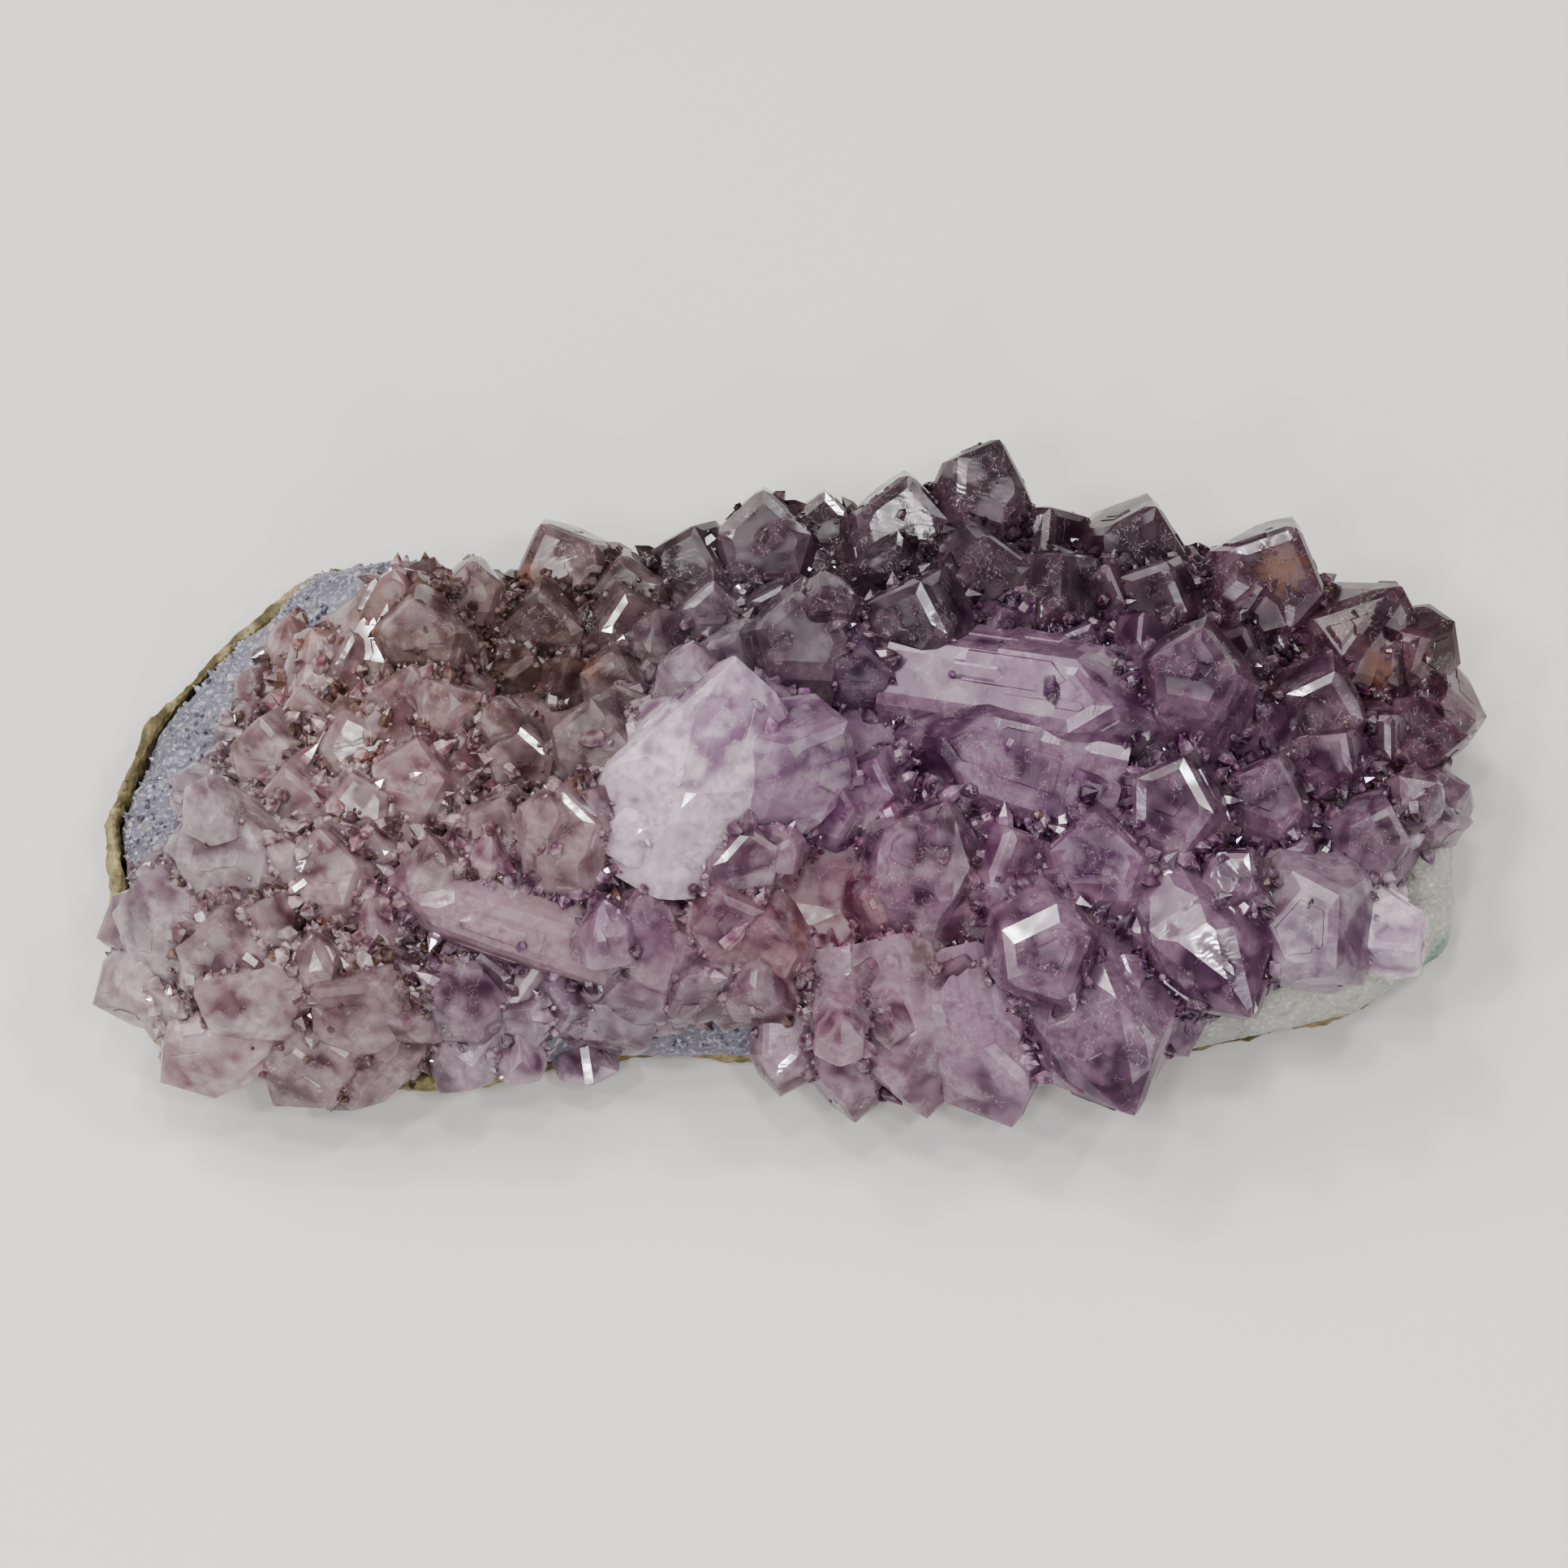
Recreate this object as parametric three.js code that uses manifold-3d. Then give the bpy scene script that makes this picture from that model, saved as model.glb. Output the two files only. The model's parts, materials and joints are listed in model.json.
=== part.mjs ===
// A cluster of amethyst crystals on its slab of agate, with the rough rind of the stone beneath.
// Millimetres. +X runs along the slab, +Y away from the viewer and +Z up.
import * as THREE from "three";
import { ConvexGeometry } from "three/addons/geometries/ConvexGeometry.js";
import { mergeVertices } from "three/addons/utils/BufferGeometryUtils.js";
import Module from "manifold-3d";

const wasm = await Module();
wasm.setup();

// Heights of the layers at their edge, above the sawn underside, and how much higher their middles rise
const RIND_THICKNESS = 2.2;
const AGATE_EDGE_HEIGHT = 8.6;
const AGATE_DOME = 2.6;
const AGATE_ROUGHNESS = 0.5;
const GROUND_EDGE_HEIGHT = 9.6;
const GROUND_DOME = 5.6;
// The crystals stand in a bed of massive quartz, this deep over their feet
const FEET_DEPTH = 1.5;
const BED_UNDERSIDE = 5.5;
// The gap between one layer and the next
const GAP = 0.3;

// Quartz: the angle between a pyramid face's normal and the crystal's long axis
const PYRAMID_ANGLE = THREE.MathUtils.degToRad(51.8);

// Crystals are listed by where they stand on a picture plane. Its viewer looks down at this angle,
// and the middle of the plane lies at this height above the underside.
const VIEW_ANGLE = THREE.MathUtils.degToRad(60);
const VIEW_HEIGHT = 10;

// Outlines seen from straight above, anticlockwise from the right-hand end
const STONE_OUTLINE = [
  [52, -2], [51.8, 5], [50, 10], [46, 12.8], [41, 15.8], [34, 17.4], [26, 18.4],
  [18, 20.3], [9, 20.8], [0, 20.2], [-8, 18.6], [-16, 18], [-22, 19.2], [-26, 20.8],
  [-29, 21.9], [-33, 21.9], [-38, 20.8], [-40.4, 17.8], [-44.5, 14.2], [-47.5, 10.5], [-50.4, 6.4],
  [-52.3, 1.8], [-52.6, -3], [-51.6, -9], [-50.4, -15.5], [-46, -19.6], [-37, -21.4], [-27, -22.2],
  [-19, -21.6], [-11, -20.2], [-3, -20.4], [7, -22], [16, -22.6], [24, -21.6], [31, -19.8],
  [38, -18.7], [45.5, -16.3], [49.6, -14], [51.7, -8.5],
];
const CRYSTAL_OUTLINE = [
  [51.2, -1.5], [51, 4.5], [49.4, 9.2], [45.6, 12], [40.6, 15], [34, 16.6], [26, 17.6],
  [18, 19.5], [9, 20], [0, 19.4], [-8, 17.9], [-16, 17.2], [-23, 17.9], [-28, 17.6],
  [-34, 16.2], [-38, 13.6], [-40.6, 9.6], [-42.5, 5.5], [-44.6, 1], [-46.6, -3.5], [-49, -8],
  [-50.4, -12.5], [-49.4, -16.5], [-45, -19.6], [-37, -20.8], [-27, -21.4], [-19, -20.8],
  [-11, -19.6], [-3, -19.8], [7, -21.4], [16, -22], [24, -21], [31, -19.2], [38, -18],
  [44, -16.4], [47, -13.4], [47.6, -9], [49.4, -5],
];

// Where the rind climbs the side of the stone: a stretch of the outline in degrees round from +X, over
// how many degrees it fades out at either end, the room that it takes and how high it reaches
const RIND_WRAP = { from: 138, to: 196, fade: 36, room: 1.5, height: 7.2 };
// From these shares of the wrap on, the rind stands outside the agate, and climbs its side
const SEATED = 0.2;
const CLIMBING = 0.75;
// Elsewhere the rind keeps back under the agate. Its wall is nowhere thinner than RIND_WALL.
const RIND_SET_BACK = 1.3;
const RIND_WALL = 0.9;
const RIND_CHAMFER = { inward: 1.4, height: 0.9 };

// Swellings and hollows of the agate and of the ground that the crystals grow from: [x, y, rise, spread]
const AGATE_SWELLS = [
  [-30, 20, 3.6, 4],
  [-37, 16, 1, 4],
  [49, -7, 1.2, 5],
];
const GROUND_SWELLS = [
  [-6, -6, 3.2, 10],
  [18, 2, 3.4, 13],
  [-30, 6, 2.4, 7],
  [-42, -12, 1.6, 7],
  [-19, 8, -2.6, 5.5],
  [-24, -4, -1.4, 5],
  [40, 2, 1.2, 9],
];

// The crystals that stand out, by area. tip and foot are [right, up] on the picture plane, rise is how far
// the tip stands above the ground at the foot, wide is the width over opposite prism faces, and turn
// spins the crystal about its axis.
const UPPER_LEFT_KNOB = [
  { tip: [-29.6, 16.2], foot: [-30.6, 10.2], rise: 9, wide: 10.5, turn: 8 },
  { tip: [-28.2, 13.8], foot: [-28.4, 8.6], rise: 9.5, wide: 6.4, turn: 30 },
  { tip: [-28.4, 8.8], foot: [-28.8, 3.8], rise: 7.5, wide: 9, turn: 20 },
  { tip: [-36.2, 11.8], foot: [-36, 7.4], rise: 5.5, wide: 7 },
  { tip: [-33, 11.4], foot: [-33.4, 8], rise: 6, wide: 5 },
  { tip: [-36.8, 7.2], foot: [-36.6, 4.2], rise: 4.5, wide: 5.2 },
  { tip: [-33.2, 5.4], foot: [-33, 1.6], rise: 6, wide: 6.8 },
];
const LEFT_EDGE = [
  { tip: [-39.8, 5], foot: [-39.4, 0.8], rise: 6, wide: 5.6, turn: 12 },
  { tip: [-43.6, 4.4], foot: [-43.2, 2.4], rise: 2.4, wide: 4.2 },
  { tip: [-46.6, 0.6], foot: [-46.4, -1.8], rise: 2.6, wide: 4.4, turn: 25 },
];
const LOWER_LEFT_GROUP = [
  { tip: [-43.2, -1.2], foot: [-43.4, -8.6], rise: 10, wide: 9, turn: 30 },
  { tip: [-48.8, -7.6], foot: [-48, -14.2], rise: 8, wide: 8, turn: 4 },
  { tip: [-42.6, -10.4], foot: [-43.2, -15.4], rise: 9, wide: 7.2, turn: 16 },
  { tip: [-39.6, -9.2], foot: [-39.8, -13.4], rise: 7.5, wide: 4.8 },
  { tip: [-47, -22.4], foot: [-46.4, -18.6], rise: -3.4, wide: 7.4 },
  { tip: [-52.2, -16.8], foot: [-48.4, -15.4], rise: -1.4, wide: 7 },
  { tip: [-51.9, -11.6], foot: [-48.6, -11.6], rise: 0.6, wide: 5.6 },
  { tip: [-44, -15.6], foot: [-44, -19.4], rise: 6, wide: 6.8 },
  { tip: [-38.6, -24.2], foot: [-39, -19.4], rise: -4.4, wide: 7.8, turn: 20 },
  { tip: [-35.2, -15.4], foot: [-35.6, -19.6], rise: 6.4, wide: 7.4 },
  { tip: [-34.6, -24.5], foot: [-34.2, -20.6], rise: -4.6, wide: 5.4 },
  { tip: [-30.9, -17.2], foot: [-31, -20.2], rise: 4.4, wide: 4.8 },
  { tip: [-39.6, -15.4], foot: [-39.6, -17.8], rise: 3.6, wide: 5 },
];
const LEFT_MIDDLE = [
  { tip: [-37.9, -3.8], foot: [-37.6, -9.6], rise: 7.6, wide: 2.6, turn: 30 },
  { tip: [-37.6, 1], foot: [-37.2, -3], rise: 6, wide: 6 },
  { tip: [-34.8, -3.6], foot: [-34.8, -9], rise: 7.4, wide: 6, turn: 22 },
  { tip: [-31.2, -8.8], foot: [-31, -12.2], rise: 5.4, wide: 4.8 },
  { tip: [-30.8, -12.4], foot: [-30.4, -15.8], rise: 5.4, wide: 5.2, turn: 30 },
  { tip: [-32.6, 0.6], foot: [-32.4, -3.6], rise: 6.2, wide: 6 },
  { tip: [-27.8, 3], foot: [-28, -2.6], rise: 7.6, wide: 7.4, turn: 10 },
  { tip: [-31.4, -3.6], foot: [-31.2, -7.2], rise: 5.6, wide: 4.8 },
];
const SMOKY_HOLLOW = [
  { tip: [-20.4, 4.4], foot: [-20, 0.4], rise: 6, wide: 5.8 },
  { tip: [-25.2, 4.2], foot: [-24.8, 0.8], rise: 6, wide: 5 },
  { tip: [-20.9, -1.4], foot: [-22.2, -6.4], rise: 8.4, wide: 5.8 },
  { tip: [-13, 10], foot: [-13, 7.2], rise: 5, wide: 5.2 },
];
const LYING_CRYSTAL = [
  { tip: [-29.9, -7], foot: [-17.4, -11.6], rise: 4.6, wide: 7, turn: 6 },
  { tip: [-16.5, -0.9], foot: [-16.2, -8.2], rise: 10.4, wide: 5.8, turn: 24 },
  { tip: [-14.6, -0.6], foot: [-13.4, -4.8], rise: 8, wide: 4.8 },
  { tip: [-22.9, -12.8], foot: [-23, -16.4], rise: 4.4, wide: 5.2, turn: 28 },
  { tip: [-17.6, -15.2], foot: [-17.6, -18], rise: 4.2, wide: 5.2 },
  { tip: [-26.4, -16.2], foot: [-26.4, -19.4], rise: 5.6, wide: 6, turn: 18 },
];
const PALE_CENTRE = [
  { tip: [-3.8, 9], foot: [-6.6, -2], rise: 11.4, wide: 13.6, turn: 50 },
  { tip: [4.4, 4.6], foot: [-4.4, -1.6], rise: 8.6, wide: 8.4, turn: 34 },
  { tip: [-14.4, 6.4], foot: [-13.2, -0.6], rise: 9.6, wide: 7, turn: 12 },
  { tip: [-2.9, -3.4], foot: [-4, -7.4], rise: 7.4, wide: 5.8 },
  { tip: [-11.6, -10], foot: [-10.6, -14], rise: 8.4, wide: 7.4, turn: 18 },
  { tip: [-4.6, -8.4], foot: [-5, -12], rise: 7.2, wide: 6.8 },
  { tip: [-1.4, -10.2], foot: [-1.4, -13.6], rise: 6.4, wide: 6.2 },
  { tip: [4, 0.4], foot: [4.2, -2.6], rise: 5.6, wide: 5 },
  { tip: [7, 1.8], foot: [6.8, -1.6], rise: 6, wide: 5.4 },
];
const ABOVE_CENTRE = [
  { tip: [1.2, 14.6], foot: [1.4, 8.2], rise: 9.6, wide: 8.4, turn: 26 },
  { tip: [5.9, 10.4], foot: [5.4, 7], rise: 7, wide: 4.8, turn: 30 },
  { tip: [10.4, 15], foot: [10.6, 9.4], rise: 9, wide: 8, turn: 2 },
  { tip: [-5.4, 15.4], foot: [-5.6, 11.8], rise: 5.4, wide: 5.6 },
  { tip: [-12.3, 14.4], foot: [-12.4, 10.8], rise: 6.2, wide: 6 },
  { tip: [-18.8, 14.6], foot: [-18.8, 10.8], rise: 7, wide: 6.8 },
  { tip: [-23.4, 16], foot: [-23.4, 12], rise: 6.4, wide: 5.2 },
  { tip: [8.6, 18.2], foot: [8, 14.4], rise: 7.4, wide: 5.4, turn: 22 },
  { tip: [15.4, 18.6], foot: [15.4, 13.6], rise: 8.4, wide: 7.4 },
  { tip: [21.2, 17.2], foot: [21, 12.6], rise: 7.6, wide: 7 },
  { tip: [24.8, 16.6], foot: [24.8, 13], rise: 6.4, wide: 5.4 },
  { tip: [16.6, 13.4], foot: [16.6, 10.4], rise: 5.4, wide: 5 },
];
const BACK_EDGE = [
  { tip: [-18.5, 20], foot: [-17.8, 15.4], rise: 8.4, wide: 7.8 },
  { tip: [-12.4, 17.3], foot: [-12.2, 13.6], rise: 6, wide: 6.4 },
  { tip: [-6.9, 19.6], foot: [-7, 15.2], rise: 7.6, wide: 6.6 },
  { tip: [-1.6, 22.5], foot: [-1.8, 16.6], rise: 10, wide: 8.4, turn: 30 },
  { tip: [3.2, 22.4], foot: [3, 17.6], rise: 8.4, wide: 5.4 },
  { tip: [9.7, 23.4], foot: [9.8, 17], rise: 10, wide: 8.8, turn: 28 },
  { tip: [16.6, 26.2], foot: [15.8, 19], rise: 12, wide: 6.6, turn: 16 },
  { tip: [20.6, 21], foot: [20.6, 16.2], rise: 8.2, wide: 6.8 },
  { tip: [28.3, 21.1], foot: [28.3, 15.6], rise: 9.4, wide: 8.6, turn: 24 },
  { tip: [34, 17.4], foot: [34, 13.2], rise: 6.6, wide: 6.6 },
  { tip: [39.2, 19.6], foot: [40, 13.4], rise: 10.4, wide: 8.4, turn: 14 },
  { tip: [47.6, 14.8], foot: [47, 9.2], rise: 8.2, wide: 9.6, turn: 32 },
  { tip: [51.4, 12.4], foot: [49.4, 8.4], rise: 6, wide: 5.6 },
  { tip: [43.6, 14], foot: [43.4, 11.4], rise: 5, wide: 5.4 },
];
const RIGHT_RIDGE = [
  { tip: [28.6, 4.6], foot: [12.6, 7.2], rise: 4.6, wide: 8.6, turn: 2 },
  { tip: [8.6, 3.6], foot: [21.4, 0], rise: 4.2, wide: 8.8, turn: 28 },
  { tip: [31.4, 11.5], foot: [31, 3.2], rise: 12, wide: 8, turn: 18 },
  { tip: [29.9, 1.8], foot: [29.6, -5], rise: 9.6, wide: 7.2, turn: 8 },
  { tip: [12, -1.8], foot: [10.6, -7.8], rise: 8.4, wide: 9.4, turn: 10 },
  { tip: [17.2, -3.6], foot: [16.6, -8], rise: 7, wide: 6.6 },
  { tip: [23.4, -2.4], foot: [24.6, -8.4], rise: 8.6, wide: 7.2, turn: 26 },
  { tip: [20.8, -6.4], foot: [21.6, -10.4], rise: 6.4, wide: 4.8 },
  { tip: [22.6, 0.6], foot: [22.4, -2.6], rise: 6, wide: 5 },
  { tip: [7.4, -6.4], foot: [7, -9.8], rise: 5.6, wide: 5 },
  { tip: [13.6, -9], foot: [13.4, -12], rise: 5.4, wide: 5 },
];
const RIGHT_FIELD = [
  { tip: [29.2, 16.8], foot: [29, 12], rise: 7.4, wide: 7 },
  { tip: [36.8, 15], foot: [36.4, 11], rise: 6.4, wide: 6.2 },
  { tip: [35.2, 11.8], foot: [35, 8.6], rise: 5.6, wide: 5 },
  { tip: [47.2, 11], foot: [47.4, 7.4], rise: 6.4, wide: 5.6 },
  { tip: [41.6, 8.4], foot: [41.2, 4.4], rise: 7.4, wide: 7.4 },
  { tip: [37, 6], foot: [36.6, 2.6], rise: 5.4, wide: 5.6 },
  { tip: [42.6, 3.8], foot: [42.4, 0.2], rise: 6, wide: 5.8 },
  { tip: [52.2, 3.6], foot: [48.6, 3], rise: 1.4, wide: 7.4 },
  { tip: [52.8, -3], foot: [49.4, -2.6], rise: -1, wide: 6 },
  { tip: [37.2, 1.6], foot: [37, -3], rise: 6.6, wide: 7 },
  { tip: [45.8, -1.8], foot: [44.6, -6.2], rise: 7, wide: 6.4, turn: 26 },
  { tip: [34.6, -17.2], foot: [32, -9.6], rise: 2.6, wide: 9.8, turn: 14 },
  { tip: [41.4, -13.6], foot: [41, -9.8], rise: 6.6, wide: 8.8, turn: 24 },
  { tip: [47.4, -12.6], foot: [46.6, -11], rise: 5.4, wide: 6, turn: 6 },
  { tip: [39.6, -4.6], foot: [39.4, -7.4], rise: 5, wide: 5.2 },
  { tip: [46.4, 5], foot: [46.2, 2.2], rise: 5, wide: 5.2 },
];
const LOWER_EDGE = [
  { tip: [26.4, -24.6], foot: [25, -15.4], rise: 0.4, wide: 10.4, turn: 12 },
  { tip: [21.2, -15.6], foot: [19.2, -10.6], rise: 5.4, wide: 7.4, turn: 0 },
  { tip: [6.6, -13.6], foot: [7, -16.6], rise: 4.8, wide: 4.8, turn: 30 },
  { tip: [4.4, -18.6], foot: [4.2, -16.2], rise: 4.4, wide: 3.8, turn: 30 },
  { tip: [8.8, -19], foot: [8.6, -16.8], rise: 3.4, wide: 5.2 },
  { tip: [-0.4, -23.5], foot: [0.6, -19.6], rise: -3.6, wide: 4.6, turn: 30 },
  { tip: [5.4, -25.5], foot: [5.6, -20.6], rise: -4.6, wide: 5 },
  { tip: [10.8, -24.8], foot: [10.8, -19.6], rise: -4, wide: 8.4 },
  { tip: [17, -25.8], foot: [17.4, -19], rise: -4.2, wide: 8.2, turn: 20 },
  { tip: [13.6, -13], foot: [13.6, -16], rise: 5.2, wide: 5.8 },
  { tip: [21.8, -22.6], foot: [20.6, -18.6], rise: -2.2, wide: 5.4 },
  { tip: [-12.5, -15], foot: [-12.2, -18.2], rise: 5.2, wide: 6.2, turn: 30 },
  { tip: [-7.6, -15], foot: [-7.6, -18.4], rise: 5.4, wide: 6.2 },
  { tip: [-2, -15.4], foot: [-2.2, -18.6], rise: 5.2, wide: 6 },
  { tip: [-26, -23.2], foot: [-25.4, -20.4], rise: -3.2, wide: 5 },
  { tip: [30.6, -20.4], foot: [29.4, -16.6], rise: -1, wide: 5.6 },
];
const PLACED_CRYSTALS = [
  ...UPPER_LEFT_KNOB, ...LEFT_EDGE, ...LOWER_LEFT_GROUP, ...LEFT_MIDDLE, ...SMOKY_HOLLOW,
  ...LYING_CRYSTAL, ...PALE_CENTRE, ...ABOVE_CENTRE, ...BACK_EDGE, ...RIGHT_RIDGE, ...RIGHT_FIELD,
  ...LOWER_EDGE,
];

// How deep a placed crystal's root lies under its foot, and how far, for its width, the roots of those at
// the rim are drawn in
const ROOT_DEPTH = 2.4;
const ROOT_DRAW = 0.42;
// Feet stay inside this share of the way to the rim
const FEET_SHARE = 0.97;
// Crystals wider than this have all six pyramid faces; the rest have three
const SIX_SIDED_OVER = 9;

// Smaller crystals that fill the ground between the placed ones
const FILL = {
  spacing: 6.2, clearance: 4.8, rows: 6, columns: 13, jitter: 1,
  wide: [3.6, 5.4], rise: [2.4, 4.2], lean: 0.3, root: 2,
};
// Crystals that lean out over the edge of the ground
const SKIRT = {
  spacing: 8.4, wide: [5.2, 7], reach: [1, 2.2], drop: [0.7, 4.2], below: 1.5, root: 3.5,
};
// Stretches of the edge with bare agate beside them, in degrees round from +X
const BARE_STRETCHES = [
  [130, 202],
  [320, 356],
];

// Straight sides of the faceted outlines
const STONE_SIDES = 28;
const BED_SIDES = 18;

// A source of repeatable chance numbers that belongs to one place on the stone
function diceAt(x, y) {
  const seedX = Math.imul(Math.round(x * 100) + 7919, 374761393);
  const seedY = Math.imul(Math.round(y * 100), 668265263);
  let state = (seedX ^ seedY) >>> 0;
  return (low = 0, high = 1) => {
    state = (state + 0x6d2b79f5) >>> 0;
    let mixed = Math.imul(state ^ (state >>> 15), state | 1);
    mixed ^= mixed + Math.imul(mixed ^ (mixed >>> 7), mixed | 61);
    return low + (((mixed ^ (mixed >>> 14)) >>> 0) / 2 ** 32) * (high - low);
  };
}

// An outline's points, evenly spaced on a smooth closed curve.
function smoothOutline(corners) {
  return new THREE.CatmullRomCurve3(
    corners.map(([x, y]) => new THREE.Vector3(x, y, 0)),
    true,
    "centripetal",
  );
}

const stoneRim = smoothOutline(STONE_OUTLINE).getSpacedPoints(STONE_SIDES).slice(1);
const crystalEdge = smoothOutline(CRYSTAL_OUTLINE);
const crystalRim = crystalEdge.getSpacedPoints(BED_SIDES).slice(1);

// How far (x, y) lies from the middle towards a rim: 0 in the middle, 1 on the rim.
function shareTo(rim, x, y) {
  for (let i = 0; i < rim.length; i++) {
    const a = rim[i];
    const b = rim[(i + 1) % rim.length];
    const edgeX = b.x - a.x;
    const edgeY = b.y - a.y;
    const across = x * edgeY - y * edgeX;
    if (across <= 1e-9) continue;
    const reach = (a.x * edgeY - a.y * edgeX) / across;
    const onEdge = (a.x * y - a.y * x) / across;
    if (reach > 0 && onEdge >= -1e-9 && onEdge <= 1 + 1e-9) return 1 / reach;
  }
  return 0;
}

function swell(list, x, y) {
  return list.reduce(
    (sum, [sx, sy, rise, spread]) =>
      sum + rise * Math.exp(-((x - sx) ** 2 + (y - sy) ** 2) / (2 * spread ** 2)),
    0,
  );
}

// Gentle unevenness of stone, between about -1 and 1.
function ripple(x, y) {
  return (
    0.5 * Math.sin(0.41 * x + 0.8) * Math.cos(0.53 * y - 0.5) +
    0.3 * Math.sin(0.93 * x - 0.71 * y + 2.1) +
    0.2 * Math.cos(1.37 * x + 1.13 * y)
  );
}

function agateTop(x, y) {
  const share = shareTo(stoneRim, x, y);
  const dome = AGATE_EDGE_HEIGHT + AGATE_DOME * (1 - share ** 2);
  return dome + swell(AGATE_SWELLS, x, y) + AGATE_ROUGHNESS * ripple(x, y);
}

function groundTop(x, y) {
  const share = Math.min(1, shareTo(crystalRim, x, y));
  return GROUND_EDGE_HEIGHT + GROUND_DOME * (1 - share ** 3) + swell(GROUND_SWELLS, x, y);
}

// The top of the massive quartz between the crystals.
function bedTop(x, y) {
  return groundTop(x, y) + FEET_DEPTH;
}

// A closed body from rings of points, from the middle of its underside outwards, up and back in.
function loft(rings, bottom, top) {
  const count = rings[0].length;
  const points = [bottom, ...rings.flat(), top];
  const last = points.length - 1;
  const faces = [];
  for (let i = 0; i < count; i++) {
    const next = (i + 1) % count;
    faces.push(0, 1 + next, 1 + i);
    for (let r = 0; r + 1 < rings.length; r++) {
      const low = 1 + r * count;
      const high = low + count;
      faces.push(low + i, low + next, high + next, low + i, high + next, high + i);
    }
    const ring = 1 + (rings.length - 1) * count;
    faces.push(ring + i, ring + next, last);
  }
  return new THREE.BufferGeometry().setFromPoints(points).setIndex(faces);
}

// A solid from a closed mesh.
function toSolid(geometry) {
  const bare = geometry.clone();
  bare.deleteAttribute("normal");
  bare.deleteAttribute("uv");
  const merged = mergeVertices(bare, 1e-5);
  return new wasm.Manifold(
    new wasm.Mesh({
      numProp: 3,
      vertProperties: merged.attributes.position.array,
      triVerts: new Uint32Array(merged.index.array),
    }),
  );
}

// A flat-shaded mesh of the largest body of a solid.
function toMesh(name, solid, material) {
  const bodies = solid.decompose().sort((a, b) => b.volume() - a.volume());
  const { vertProperties, triVerts, numProp } = bodies[0].getMesh();
  const points = new Float32Array((vertProperties.length / numProp) * 3);
  for (let i = 0; i < points.length / 3; i++) {
    points.set(vertProperties.subarray(i * numProp, i * numProp + 3), i * 3);
  }
  const geometry = new THREE.BufferGeometry()
    .setAttribute("position", new THREE.BufferAttribute(points, 3))
    .setIndex(new THREE.BufferAttribute(triVerts, 1))
    .toNonIndexed();
  geometry.computeVertexNormals();
  const mesh = new THREE.Mesh(geometry, material);
  mesh.name = name;
  return mesh;
}

// The rim's points moved outwards by a distance that may change along it, at a height.
function ringAt(rim, outward, height) {
  return rim.map((p, i) => {
    const before = rim[(i + rim.length - 1) % rim.length];
    const after = rim[(i + 1) % rim.length];
    const side = new THREE.Vector3(after.y - before.y, before.x - after.x, 0).normalize();
    const moved = p.clone().addScaledVector(side, outward(p));
    return moved.setZ(height(moved.x, moved.y));
  });
}

function scaledRing(rim, share, outward, height) {
  return ringAt(rim, outward, () => 0).map((p) => {
    p.multiplyScalar(share);
    return p.setZ(height(p.x, p.y));
  });
}

// 1 where the rind climbs the side of the stone, fading to 0 outside that stretch.
function wrapShare(p) {
  const angle = (THREE.MathUtils.radToDeg(Math.atan2(p.y, p.x)) + 360) % 360;
  const inside = Math.min(angle - RIND_WRAP.from, RIND_WRAP.to - angle);
  return THREE.MathUtils.smoothstep(inside, -RIND_WRAP.fade, 0);
}

// How far the agate's side stands inside the outline of the stone.
function agateInset(p) {
  const roomForRind = RIND_WRAP.room * Math.min(1, wrapShare(p) / SEATED);
  return 0.4 * ripple(1.7 * p.x, 1.7 * p.y) - 0.2 - roomForRind;
}

// The rings of the agate's side, from its underside up. grow makes the agate larger all round.
function agateSide(grow) {
  const bottom = RIND_THICKNESS + GAP - grow;
  const wall = (share) => (x, y) => bottom + (agateTop(x, y) + grow - bottom) * share;
  const ring = (inward, share) => ringAt(stoneRim, (p) => agateInset(p) + grow - inward, wall(share));
  return [ring(0.8, 0), ring(0, 0.3), ring(0.1, 0.7), ring(1, 0.97)];
}

// The agate: a low dome with a rounded, uneven side.
function agateSolid(grow = 0) {
  const bottom = RIND_THICKNESS + GAP - grow;
  const top = (x, y) => agateTop(x, y) + grow;
  const rings = [
    ...agateSide(grow),
    ...[0.9, 0.74, 0.46].map((share) => scaledRing(stoneRim, share, agateInset, top)),
  ];
  return toSolid(loft(rings, new THREE.Vector3(0, 0, bottom), new THREE.Vector3(0, 0, top(0, 0))));
}

// How high the rind reaches up the side of the stone.
function rindLip(x, y) {
  const share = Math.max(0, (wrapShare({ x, y }) - CLIMBING) / (1 - CLIMBING));
  return RIND_THICKNESS + (RIND_WRAP.height - RIND_THICKNESS + 0.6 * ripple(3 * x, 3 * y)) * share;
}

// How far the rind's side stands outside the outline of the stone.
function rindEdge(p) {
  const share = wrapShare(p);
  const setBack = RIND_SET_BACK * Math.max(0, 1 - share / SEATED);
  const outside = 0.4 * ripple(2.1 * p.x + 3, 2.1 * p.y) - setBack;
  return share > SEATED ? Math.max(outside, agateInset(p) + GAP + RIND_WALL) : outside;
}

function rindInner(p) {
  return wrapShare(p) > SEATED ? agateInset(p) + GAP : rindEdge(p) - RIND_WALL;
}

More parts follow.
